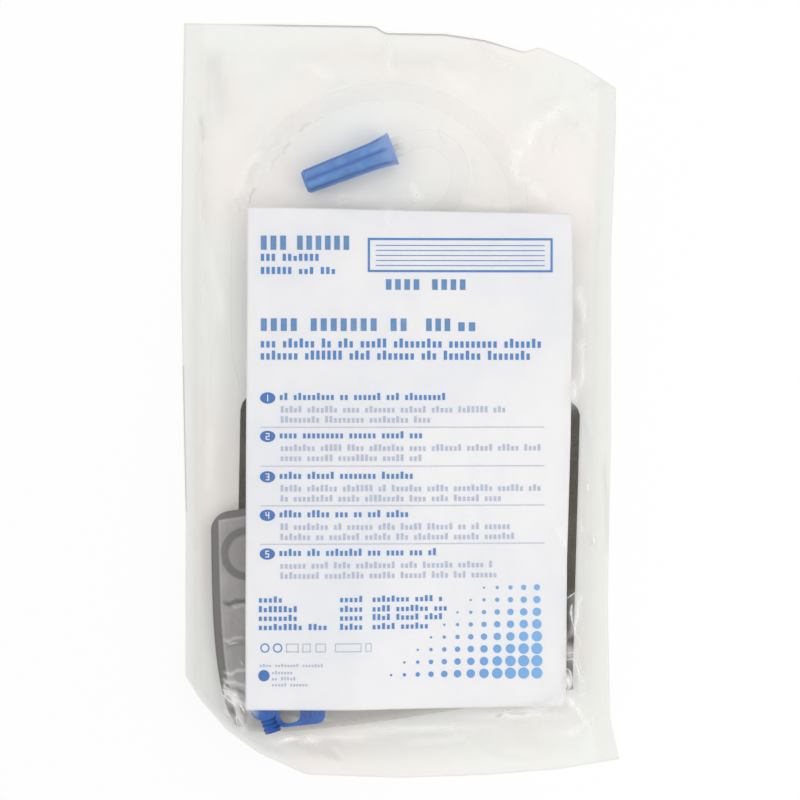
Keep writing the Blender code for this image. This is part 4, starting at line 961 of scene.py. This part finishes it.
# %% Meshes of ink
def ink_mesh(name, boxes, ink_used, pieces=1):
    """One mesh of upright boxes (left, bottom, right, top in pixels), each cut into pieces across."""
    boxes = np.asarray(boxes, float)
    cut = np.linspace(0, 1, pieces + 1)
    x = boxes[:, 0:1] + (boxes[:, 2:3] - boxes[:, 0:1]) * cut
    x = np.stack([x, x], axis=-1)
    y = np.broadcast_to(boxes[:, None, [1, 3]], x.shape)
    points = on_sheet(*pixel_place(x, y))
    base = np.arange(len(boxes))[:, None, None] * (pieces + 1) * 2 + grid_faces(pieces + 1, 2)[None]
    made = put_mesh(name, points, base.reshape(-1, 4), ink_used)
    return made


def text_mesh(name, rows, ink_used):
    """One mesh of many lines of print: each row holds what line_blocks takes."""
    ink_mesh(name, np.concatenate([line_blocks(*row) for row in rows]), ink_used)


def ink(name, colour):
    """Ink that has sunk into paper: matte, a little uneven."""
    made = Finish(name, colour, 0.55)
    lighter = tuple(min(1.0, k * INK_LIGHTER) for k in colour[:3]) + (1.0,)
    made.paint((700.0, 3.0), (0.35, 0.7), colour, lighter)
    return made


# %% Inks
deep_blue = ink("ink_deep_blue", screen(74, 128, 180))
blue = ink("ink_blue", screen(52, 120, 188))
oval_blue = ink("ink_oval_blue", screen(30, 102, 176))
pale_blue = ink("ink_pale", screen(172, 184, 206))
faint = ink("ink_faint", screen(188, 196, 210))

# %% Lines of print
heading = [(262, 291, 237, 251, 9.6, (3, 3), 1.0), (298, 362, 237, 251, 9.2, (7, 7), 1.0),
           (262, 420, 319, 331.5, 9.9, (4, 10), 1.0), (426, 455, 319, 331.5, 9.2, (3, 3), 1.0),
           (458, 481, 319, 331.5, 10.5, (2, 2), 0.0), (386, 485, 280, 290.5, 9.2, (3, 4), 1.0)]
text_mesh("print_heading", heading, deep_blue)
small = [(262, 326, 255, 262, 5.4, (3, 8), 0.9), (262, 342, 268, 275, 5.4, (3, 6), 0.9),
         (262, 549, 339, 348, 5.5), (262, 534, 351, 360, 5.5)]
for y, first_end, last_end in ((597, 290, 448), (606.5, 309, 450), (615, 306, 448), (624, 332, 436)):
    reach = (y - 3.4, y + 2.6)
    small += [(261, first_end, *reach, 4.9), (341, 367, *reach, 4.7, (6, 8)), (373, last_end, *reach, 4.7)]
group_rows = (398, 436, 476, 514, 552)
small += [(281, end, y - 5, y + 2, 4.6) for y, end in zip(group_rows, (448, 424, 423, 411, 441))]
text_mesh("print_lines", small, blue)
thin = [(282, end, y + step, y + step + 6.4, 4.4)
        for y, ends in zip(group_rows, ((510, 433), (542, 425), (545, 505), (517, 518), (495, 500)))
        for step, end in zip((8, 18), ends)]
thin += [(274, end, y - 1.6, y + 1.6, 3.0) for y, end in ((668.5, 296), (674.5, 298), (680.5, 312))]
text_mesh("print_thin_lines", [*thin, (262, 327, 660, 663, 3.0)], pale_blue)
print(len(heading) + len(small) + len(thin) + 1, "lines of print")
dividers = [(262, y + 0.5, 544, y - 0.5) for y in (427, 465.5, 504.6, 542.5)]
ink_mesh("print_dividers", dividers, faint, 60)


# %% Panel and signs
def frame_strokes(left, bottom, right, top, thick):
    """The four strokes of an upright frame."""
    return [(left, bottom, left + thick, top), (right - thick, bottom, right, top),
            (left, top + thick, right, top), (left, bottom, right, bottom - thick)]


# an empty panel beside the heading, ruled like a form's field, and a row of small plain signs
panel = frame_strokes(368, 273, 552, 239, 2.2)
panel += [(376, y + 0.8, 544, y) for y in (246, 251, 256, 261, 266)]
ink_mesh("print_panel", panel, blue, 60)
signs = [box for left, right in ((288, 300), (304, 312), (317, 327), (336, 362), (366, 372))
         for box in frame_strokes(left, 648.5, right, 640, 0.8)]
ink_mesh("print_signs", signs, pale_blue, 4)
print(len(panel), "strokes in the panel,", len(signs), "in the signs")

# %% [markdown]
# ### Numerals and motif
#
# Each group of lines has a blue oval with a plain numeral in it, from 1 to 5. A single flat face
# would cut through the bowed paper, so an oval is a fan of thin rings that follows it. The corner
# has a generic motif in like blues: rows of dots that grow towards the right.


# %% Ovals
def ovals(name, centres, radii, ink_used, hollow=0.02, sides=28, rings=3):
    """Flat ovals on the sheet, as belts between rings at growing shares of the radii.

    Hollow is the share at which the first ring lies, so it is close to 1 for a thin ring."""
    centres, radii = np.asarray(centres, float), np.asarray(radii, float)
    turn = np.linspace(0, 2 * math.pi, sides + 1)
    share = np.linspace(hollow, 1, rings + 1)
    shape = share[:, None, None] * np.stack([np.cos(turn), np.sin(turn)], axis=1)
    around = centres[:, None, None] + shape[None] * radii[:, None, None]
    first = np.arange(len(centres))[:, None, None] * share.size * turn.size
    faces = first + grid_faces(share.size, turn.size)[None, :, ::-1]
    points = on_sheet(*pixel_place(around[..., 0], around[..., 1]))
    made = put_mesh(name, points, faces.reshape(-1, 4), ink_used)


OVAL = (7.6, 5.6)
ovals("print_ovals", [(269, y) for y in group_rows], [OVAL] * 5, oval_blue)
ovals("print_disc", [(266, 671.5)], [(5.6, 5.6)], oval_blue)
ovals("print_sign_rings", [(267, 644.3), (279.5, 644.3)], [(4.6, 4.6)] * 2, blue, 0.75, 24, 1)

# %% Dots
sky = Finish("ink_sky_blue", screen(84, 152, 214), 0.55)
sideways = sky.node("ShaderNodeSeparateXYZ")
sky.link(sky.place(), sideways.inputs["Vector"])
from_left = sky.spread(sideways.outputs["X"], -0.01, 0.06)
sky.link(sky.mixed(from_left, screen(46, 118, 196), screen(118, 178, 230)), sky.skin.inputs["Base Color"])
DOT_COLUMNS, DOT_ROWS = 13, 8
DOT_FIRST, DOT_STEP = (378, 672), (13.2, 12.2)
DOT_SMALL, DOT_GROWTH, DOT_SEEN = 0.7, 4.9, 1.0
column, row = (k.ravel() for k in np.meshgrid(np.arange(DOT_COLUMNS), np.arange(DOT_ROWS), indexing="ij"))
dot_x = DOT_FIRST[0] + column * DOT_STEP[0]
dot_y = DOT_FIRST[1] - row * DOT_STEP[1]
growth = np.clip((column / (DOT_COLUMNS - 1)) * 1.25 - row / (DOT_ROWS - 1) * 0.75, 0, 1)
size = DOT_SMALL + DOT_GROWTH * growth
big = size > DOT_SEEN
ovals("print_dots", np.stack([dot_x, dot_y], axis=1)[big], np.stack([size, size], axis=1)[big], sky,
      sides=20, rings=2)
print(int(big.sum()), "dots")

# %% Numerals
white_ink = ink("ink_white", screen(238, 240, 244))
STROKES = {  # strokes of a plain numeral, as (left, bottom, right, top) in a box 4 wide and 7 high
    1: [(1.5, 7, 2.5, 0)],
    2: [(0, 1, 4, 0), (3, 4, 4, 0), (0, 4, 4, 3), (0, 7, 1, 3), (0, 7, 4, 6)],
    3: [(0, 1, 4, 0), (3, 7, 4, 0), (1, 4, 4, 3), (0, 7, 4, 6)],
    4: [(0, 4, 1, 0), (0, 4, 4, 3), (3, 7, 4, 0)],
    5: [(0, 1, 4, 0), (0, 4, 1, 0), (0, 4, 4, 3), (3, 7, 4, 3), (0, 7, 4, 6)],
}
NUMERAL_SCALE, NUMERAL_LEFT, NUMERAL_RISE = 0.95, 267.1, 3.3
numerals = []
for k, y in enumerate(group_rows):
    corner = np.array([NUMERAL_LEFT, y - NUMERAL_RISE] * 2)
    numerals.append(np.array(STROKES[k + 1], float) * NUMERAL_SCALE + corner)
figures = ink_mesh("print_numerals", np.concatenate(numerals), white_ink)
figures.data.transform(Matrix.Translation((0, 0, INK_LIFT)))

# %% [markdown]
# ## The clear film
#
# The film is drawn over everything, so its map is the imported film's, evened out, and nowhere
# lower than what lies under it. The real film was crumpled when the pouch was filled: it has
# long soft folds and short sharp ones. Each is a ridge on the map, added upwards only, so that
# the film keeps clear of what it covers. The film is a single surface: it is so thin that its two
# faces can't be told apart, and light that crosses it twice as often would leave the pack grey.

# %% Film creases
FOLDS = [  # the long folds: ends in pixels of the image, height in millimetres, width in pixels
    (567, 105, 541, 120, 0.9, 5.0), (541, 120, 521, 146, 1.1, 5.0), (521, 146, 510, 177, 1.1, 5.0),
    (510, 175, 530, 184, 0.8, 4.0), (530, 183, 545, 202, 0.9, 4.0), (385, 31, 393, 78, 0.7, 4.0),
    (388, 205, 389, 228, 0.4, 3.0), (457, 203, 527, 206, 0.6, 4.0), (407, 187, 424, 202, 0.7, 3.0),
    (578, 285, 586, 330, 0.9, 4.0), (584, 335, 580, 388, 0.8, 4.0), (557, 523, 561, 548, 0.6, 2.4),
    (590, 470, 591, 500, 0.5, 2.2), (595, 528, 594, 556, 0.5, 2.2), (585, 590, 566, 640, 0.8, 3.0),
    (566, 640, 584, 692, 0.8, 3.0), (495, 716, 575, 697, 0.8, 3.5), (565, 691, 591, 730, 0.9, 3.5),
    (560, 735, 600, 720, 0.7, 4.0), (192, 528, 194, 553, 0.7, 2.2), (202, 108, 202, 392, 0.5, 2.2),
    (232, 690, 262, 712, 0.8, 3.0), (225, 700, 250, 730, 0.8, 3.0), (262, 735, 330, 742, 0.6, 3.0),
    (330, 745, 345, 760, 0.6, 3.0), (236, 200, 262, 150, 0.5, 4.0), (290, 60, 340, 80, 0.6, 6.0),
    (430, 60, 470, 95, 0.6, 6.0), (470, 40, 520, 70, 0.7, 6.0), (560, 90, 600, 150, 0.6, 6.0),
    (600, 200, 590, 260, 0.6, 5.0), (210, 240, 222, 330, 0.5, 5.0), (215, 420, 205, 500, 0.5, 5.0),
    (590, 400, 596, 470, 0.5, 4.0), (400, 745, 470, 735, 0.6, 5.0), (480, 750, 560, 760, 0.5, 5.0),
]
SMUDGES = [  # greyish streaks, where the film turns from the light: ends, width, share
    (201, 109, 201, 144, 1.0, 0.5), (237, 198, 242, 216, 2.2, 0.5), (248, 208, 258, 187, 1.6, 0.7),
    (247, 190, 261, 161, 5.0, 0.4), (269, 174, 282, 153, 1.2, 0.5), (265, 155, 283, 143, 3.2, 0.3),
    (282, 158, 292, 142, 1.2, 0.5), (298, 135, 313, 123, 1.8, 0.5), (315, 123, 326, 119, 1.4, 0.5),
    (328, 90, 355, 82, 1.2, 0.3), (355, 83, 381, 84, 1.0, 0.3), (392, 85, 420, 78, 1.6, 0.3),
    (369, 105, 388, 103, 1.2, 0.3), (339, 203, 355, 199, 1.6, 0.5), (403, 199, 417, 207, 1.6, 0.5),
    (494, 716, 504, 709, 1.2, 0.6), (503, 709, 530, 713, 1.2, 0.5), (528, 701, 565, 707, 1.2, 0.3),
    (539, 718, 536, 752, 1.6, 0.25), (576, 658, 586, 679, 1.4, 0.4), (607, 450, 608, 560, 1.2, 0.25),
    (436, 128, 446, 150, 2.4, 0.3), (470, 150, 478, 190, 2.4, 0.3), (560, 130, 548, 160, 2.6, 0.3),
    (589, 300, 583, 380, 1.4, 0.3), (213, 300, 210, 420, 1.6, 0.25), (300, 748, 345, 762, 1.8, 0.3),
    (212, 40, 225, 132, 11.0, 0.36), (274, 152, 306, 106, 9.0, 0.3), (202, 140, 201, 230, 0.8, 0.3),
    (585, 88, 612, 82, 3.0, 0.16), (590, 110, 560, 140, 3.0, 0.16),
]
MILLIMETRE, RIPPLE_SEED = 0.001, 11
FOLD_WANDER, SMUDGE_WANDER, SMUDGE_WIDER = 1.6, 0.9, 0.8
RIPPLES, RIPPLE_LENGTHS = 26, (0.009, 0.034)
RIPPLE_SHIFT, RIPPLE_BEND, BEND_RATE = 6.3, 1.2, 0.37  # radians for two, then bends per ripple


def pixel_ridge(x, y, ends, width, wander):
    """A ridge between two places of the image, all its numbers in pixels."""
    return ridge(x, y, pixel_place(*ends[:2]), pixel_place(*ends[2:]), width * PIXEL, wander * PIXEL)


crease_map = np.zeros(MAP_SIZE)
for *ends, rise, wide in FOLDS:
    crease_map += MILLIMETRE * rise * pixel_ridge(map_x, map_y, ends, wide, FOLD_WANDER)

# %% Ripples
waves = np.random.default_rng(RIPPLE_SEED)
ripple = np.zeros(MAP_SIZE)
for _ in range(RIPPLES):
    angle = waves.uniform(0, math.pi)
    length = waves.uniform(*RIPPLE_LENGTHS)
    phase = (map_x * math.cos(angle) + map_y * math.sin(angle)) * 2 * math.pi / length
    start_at, bend_at = waves.uniform(0, RIPPLE_SHIFT, 2)
    ripple += length * np.sin(phase + start_at + RIPPLE_BEND * np.sin(phase * BEND_RATE + bend_at))
ripple = np.abs(ripple) / np.abs(ripple).max()
print(len(FOLDS), "folds and", RIPPLES, "ripples")

# %% Film finish
# some veils are painted light that lifts shade under the cap and below the bag; the others make crumpled film
# milky, and one makes it clearer
VEILS = [  # where crumpled film looks milky, or clearer: middle, reach across and up (pixels), share
    (571, 650, 5, 6, 0.2), (568, 680, 4, 8, 0.7), (571, 612, 2.5, 9, 0.25), (574, 596, 6, 4, 0.12),
    (233, 693, 9, 8, 0.3), (244, 716, 4, 8, 0.14), (290, 735, 9, 4, 0.4), (312, 735, 9, 5, 0.4),
    (573, 392, 4, 12, 0.5), (345, 733, 30, 4, 0.3), (420, 726, 60, 4, 0.3), (520, 714, 40, 4, 0.35),
    (276, 720, 16, 9, -0.04), (274, 748, 22, 7, 0.14), (350, 200, 34, 5, 0.16), (404, 148, 5, 9, 0.12),
]
FILM_HAZE, FILM_REFLECT, FILM_CREASED, FILM_VEILED, FILM_DULL = 0.056, 0.38, 0.36, 1.2, 0.6
FILM_ROOM, RIPPLE_HEIGHT, FULL_CREASE = 0.0004, 0.0009, 0.0009
LIFT_SIDE, LIFT_END, LIFT_RAMP = 0.0064, 0.003, 0.006  # where the film leaves the paper, and how fast
film = Finish("clear_film", screen(255, 254, 251), 0.2, IOR=1.9, Specular_IOR_Level=0.8)
# painted shade: the film's colour turns grey along the smudges, where it turns from the light
film.link(film.mixed(film.attribute("dull"), screen(255, 254, 251), screen(104, 100, 95)),
          film.skin.inputs["Base Color"])
film.bump(film.noise(60.0, 2.0, 0.8), 0.0011, 0.4)
slant = film.node("ShaderNodeLayerWeight")
slant.inputs["Blend"].default_value = 0.15
# creases and veils raise the alpha of the white film: along the creases partly the milky look of crumpled
# film and partly painted highlight
clearness = film.sums(film.sums(slant.outputs["Fresnel"], FILM_REFLECT, "MULTIPLY"),
                      film.sums(film.attribute("creased"), FILM_CREASED, "MULTIPLY"))
veiled = film.sums(film.sums(film.attribute("veil"), FILM_VEILED, "MULTIPLY"), FILM_HAZE)
veiled = film.sums(veiled, film.sums(film.attribute("dull"), FILM_DULL, "MULTIPLY"))
film.link(film.sums(clearness, veiled), film.skin.inputs["Alpha"])

# %% Film surface
FILM_COLUMNS, FILM_ROWS = 220, 380
plan = pouch_plan(FILM_COLUMNS, FILM_ROWS)
x, y = plan[..., 0], plan[..., 1]
width = POUCH_TOP[-1][0] - POUCH_TOP[0][0]
length = POUCH_LEFT[-1][1] - POUCH_RIGHT[0][1]
column, row = np.arange(FILM_COLUMNS), np.arange(FILM_ROWS)
from_side = np.minimum(column, column[::-1])[:, None] / (FILM_COLUMNS - 1) * width
from_end = np.minimum(row, row[::-1])[None] / (FILM_ROWS - 1) * length
free = np.clip(np.minimum(from_side - LIFT_SIDE, from_end - LIFT_END) / LIFT_RAMP, 0, 1)
covered = np.maximum.reduce([np.where(sheet_map > 0, sheet_field, 0.0), below_map, lever_room])
covered = softened(dilated(covered, 2), 1, 2) + FILM_ROOM
film_field = np.maximum(softened(film_map, 2), covered)
flat_level = PAPER_THICKNESS + CLEARANCE
above = sample(film_field + crease_map + RIPPLE_HEIGHT * ripple, x, y)
film_top = np.maximum(flat_level, free * above + (1 - free) * np.minimum(above, flat_level))
creased = np.clip(sample(crease_map, x, y) / FULL_CREASE, 0, 1) + 0.25 * sample(ripple, x, y) ** 3
# painted shade along the smudges
dull = np.zeros_like(x)
for *ends, wide, share in SMUDGES:
    dull += share * pixel_ridge(x, y, ends, wide + SMUDGE_WIDER, SMUDGE_WANDER)
veil = np.zeros_like(x)
for spot_x, spot_y, reach_x, reach_y, share in VEILS:
    a, b = pixel_place(spot_x, spot_y)
    veil += share * np.exp(-(((x - a) / (reach_x * PIXEL)) ** 2) - ((y - b) / (reach_y * PIXEL)) ** 2)
film_points = lifted(plan, film_top)
clear = put_mesh("clear_film_skin", film_points, grid_faces(FILM_COLUMNS, FILM_ROWS), film,
                 creased=creased, veil=veil, dull=np.clip(dull, 0, 1))
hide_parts("clear_film")
print("film reaches", round(film_top.max() * 1000, 1), "mm")

# %% [markdown]
# ### Sharp creases
#
# Where the film is pinched it has fine creases that show as thin white lines, thinner than the
# film's grid can carry. A grid fine enough for them would be ten times as heavy, so each is its own
# narrow ribbon on the film: a curve through a few points, with a width that swells and fades like
# the root of a sine, and a crest along its middle. The ribbons are half-clear white, a painted
# highlight where the crease catches the light.

# %% Crease ribbons
SHARP_CREASES = [  # width, then three points, in pixels of the image
    (1.1, 566, 597.5, 570, 594.5, 575, 591), (2.0, 571, 603, 570, 611, 571.5, 621),
    (1.1, 571, 619, 573.5, 628, 575.5, 637), (0.7, 575, 630, 579, 641, 580, 652),
    (0.7, 565, 652, 571, 651, 577, 652.5), (0.9, 564, 659, 571, 657.5, 577, 659),
    (1.5, 565, 667, 569, 670, 571, 678), (1.1, 571, 677, 570, 683, 566, 689),
    (1.2, 565, 671, 566.5, 679, 569, 686), (0.8, 577, 657, 580, 667, 584, 673),
    (0.7, 575, 664, 579, 674, 578, 683), (0.6, 572, 690, 579, 694, 586, 692),
    (1.5, 587, 483, 587.6, 487, 587.2, 492), (1.1, 580, 524, 580.6, 529, 580.3, 533),
    (1.4, 594, 537, 595, 542, 594.6, 546), (0.8, 572, 386, 573.5, 392, 572.8, 399),
    (1.2, 554, 67, 556, 71, 558, 76), (1.0, 222, 684, 232, 687, 244, 693),
    (1.2, 225, 689, 231, 695, 241, 702), (0.9, 226, 684, 228, 690, 227, 696),
    (1.6, 242, 699, 245, 703, 247, 708), (0.8, 240, 706, 239, 714, 241, 722),
    (0.7, 231, 641, 236, 639.6, 241, 639), (0.8, 242, 656, 244, 658.5, 246, 661),
    (1.3, 286, 737, 290, 733, 294, 736), (1.0, 307, 730, 311, 735, 315, 740),
    (0.8, 298, 741, 304, 739, 308, 741), (0.8, 557, 526, 559, 536, 560, 549),
    (0.6, 495, 713, 508, 709.5, 521, 713), (0.6, 524, 708, 540, 704, 556, 706),
    (0.6, 345, 741, 352, 737, 360, 738), (0.6, 256, 190, 270, 168, 282, 150),
    (0.6, 286, 119, 296, 113, 306, 109), (0.7, 585, 78, 592, 82, 601, 85),
    (0.6, 530, 152, 536, 168, 543, 184), (0.7, 449, 131, 455, 137, 462, 140),
    (0.6, 243, 180, 249, 170, 252, 158),
]
RIBBON_STEPS = 14
RIBBON_LIFTS = np.array([0.00010, 0.00028, 0.00010])  # of its three rows over the film
film_relief = softened(dilated(relief(film_points.reshape(-1, 3)), 1), 1, 1)


def ribbon(width, *numbers):
    """Points of one crease: three rows along a smooth curve, the middle one raised a little."""
    points = np.reshape(numbers, (-1, 2))
    route = along(smooth_route(points), np.linspace(0, 1, RIBBON_STEPS))
    run = np.gradient(route, axis=0)
    aside = np.stack([-run[:, 1], run[:, 0]], axis=1) / np.linalg.norm(run, axis=1)[:, None]
    t = np.linspace(0, 1, RIBBON_STEPS)
    uneven = 1 + 0.3 * np.sin(17 * t + points[0, 0])
    half = width / 2 * np.sqrt(np.sin(math.pi * np.clip(t, 0.004, 0.996))) * uneven
    plan = route[:, None] + aside[:, None] * (half[:, None] * np.array([-1.0, 0.0, 1.0]))[..., None]
    x, y = pixel_place(plan[..., 0], plan[..., 1])
    return np.stack([x, y, sample(film_relief, x, y) + RIBBON_LIFTS], axis=-1)


crests = np.stack([ribbon(*crease) for crease in SHARP_CREASES])
base = np.arange(len(crests))[:, None, None] * RIBBON_STEPS * 3 + grid_faces(RIBBON_STEPS, 3)[None]
# painted highlight: each ribbon is half-opaque white
crease_white = Finish("film_crease", screen(255, 255, 253), 0.3, Alpha=0.62)
crease_white.bump(crease_white.noise(900.0, 2.0), 0.0001, 0.6)
ribbons = put_mesh("clear_film_creases", crests, base.reshape(-1, 4), crease_white)
print(len(crests), "creases")

# %% [markdown]
# ## Moulded pieces
#
# Connector, ports and tap are the imported solids themselves. They could be modelled again in finer
# meshes, but they are real moulded shapes already, so they only get their finish. The tap is a
# deep, glossy blue, and the film leaves room for the whole turn of its lever.


# %% Finishes of the moulded pieces
def dress(node, finish):
    """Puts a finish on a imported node."""
    materials = frame["nodes"][node].data.materials
    materials.clear()
    materials.append(finish.material)


def moulded(name, colour, light, roughness, specular=0.5, subsurface=0.0):
    """Moulded plastic: a slow drift between two shades, fine texture in roughness and relief."""
    made = Finish(name, colour, roughness, Specular_IOR_Level=specular, Subsurface_Weight=subsurface,
                  Subsurface_Scale=0.002)
    made.paint((160.0, 4.0), (0.35, 0.65), colour, light)
    made.roughen((420.0, 3.0), (0.3, 0.7), roughness * 0.8, roughness * 1.25)
    made.bump(made.noise(1600.0, 2.0), 0.00003, 0.5)
    return made


tap_plastic = moulded("tap_plastic", screen(0, 68, 156), screen(8, 92, 178), 0.3, 0.25)
dress("tap_body", tap_plastic)
dress("tap_lever", tap_plastic)
clear_plastic = moulded("clear_plastic", screen(228, 230, 228), screen(238, 239, 238), 0.22, 0.6)
clear_plastic.skin.inputs["Alpha"].default_value = 0.16
for node in ("tube_connector", "inlet_port", "outlet_port"):
    dress(node, clear_plastic)
dress("tap_seal_ring", moulded("seal_rubber", screen(38, 38, 40), screen(52, 52, 54), 0.7, 0.3))
valve_film = moulded("valve_film", screen(214, 216, 214), screen(226, 227, 226), 0.3)
dress("non_return_valve", valve_film)

# %% [markdown]
# ## Table, light and finish
#
# The pack lies on a plain white table. Small lamps would give hard edges to every shadow, so a
# broad lamp above and to the left and another on the right give soft shadows and long soft
# reflections in the film. The world fills the rest, at a level at which a colour comes out about
# as it is written.

# %% Table
FLOOR_SIZE, FLOOR_DEPTH = 6.0, 0.0002
FLOOR_GLOW = 0.72  # share of plain white that the camera sees in the table
AIR_LEVEL = 0.86
floor = Finish("table", screen(250, 250, 250), 0.85)
glow = floor.node("ShaderNodeEmission")
glow.inputs["Color"].default_value = (1.0, 1.0, 1.0, 1.0)
glow.inputs["Strength"].default_value = 1.0
path = floor.node("ShaderNodeLightPath")
seen = floor.sums(path.outputs["Is Camera Ray"], FLOOR_GLOW, "MULTIPLY")
blend = floor.node("ShaderNodeMixShader")
output = floor.nodes["Material Output"]
floor.link(seen, blend.inputs[0])
floor.link(floor.skin.outputs["BSDF"], blend.inputs[1])
floor.link(glow.outputs["Emission"], blend.inputs[2])
floor.link(blend.outputs["Shader"], output.inputs["Surface"])
corners = np.array([(-1, -1, 0), (1, -1, 0), (1, 1, 0), (-1, 1, 0)]) * FLOOR_SIZE / 2
corners = corners - (0, 0, FLOOR_DEPTH)
table_mesh = bpy.data.meshes.new("table")
table_mesh.from_pydata(corners.tolist(), [], [(0, 1, 2, 3)])
table_mesh.materials.append(floor.material)
table = put_object("table", table_mesh)

# %% World
world = bpy.data.worlds.new("studio")
world.use_nodes = True
air = world.node_tree.nodes["Background"]
air.inputs["Color"].default_value = (1.0, 1.0, 1.0, 1.0)
rays = world.node_tree.nodes.new("ShaderNodeLightPath")
level = world.node_tree.nodes.new("ShaderNodeMapRange")
level.inputs["To Min"].default_value = AIR_LEVEL
level.inputs["To Max"].default_value = 1.0
world.node_tree.links.new(rays.outputs["Is Glossy Ray"], level.inputs["Value"])
world.node_tree.links.new(level.outputs["Result"], air.inputs["Strength"])
bpy.context.scene.world = world


# %% Lamps
def lamp(name, place, size, watts):
    """A square softbox that faces the middle of the pack."""
    light = bpy.data.lights.new(name, "AREA")
    light.shape = "SQUARE"
    light.size = size
    light.energy = watts
    made = put_object(name, light)
    made.location = place
    towards = -made.location.normalized()
    made.rotation_mode = "QUATERNION"
    made.rotation_quaternion = towards.to_track_quat("-Z", "Y")


lamp("lamp_left", (-0.75, 0.65, 0.95), 0.8, 1.6)
lamp("lamp_right", (0.9, -0.35, 0.8), 0.6, 2.8)
bpy.context.scene.view_settings.view_transform = "Standard"
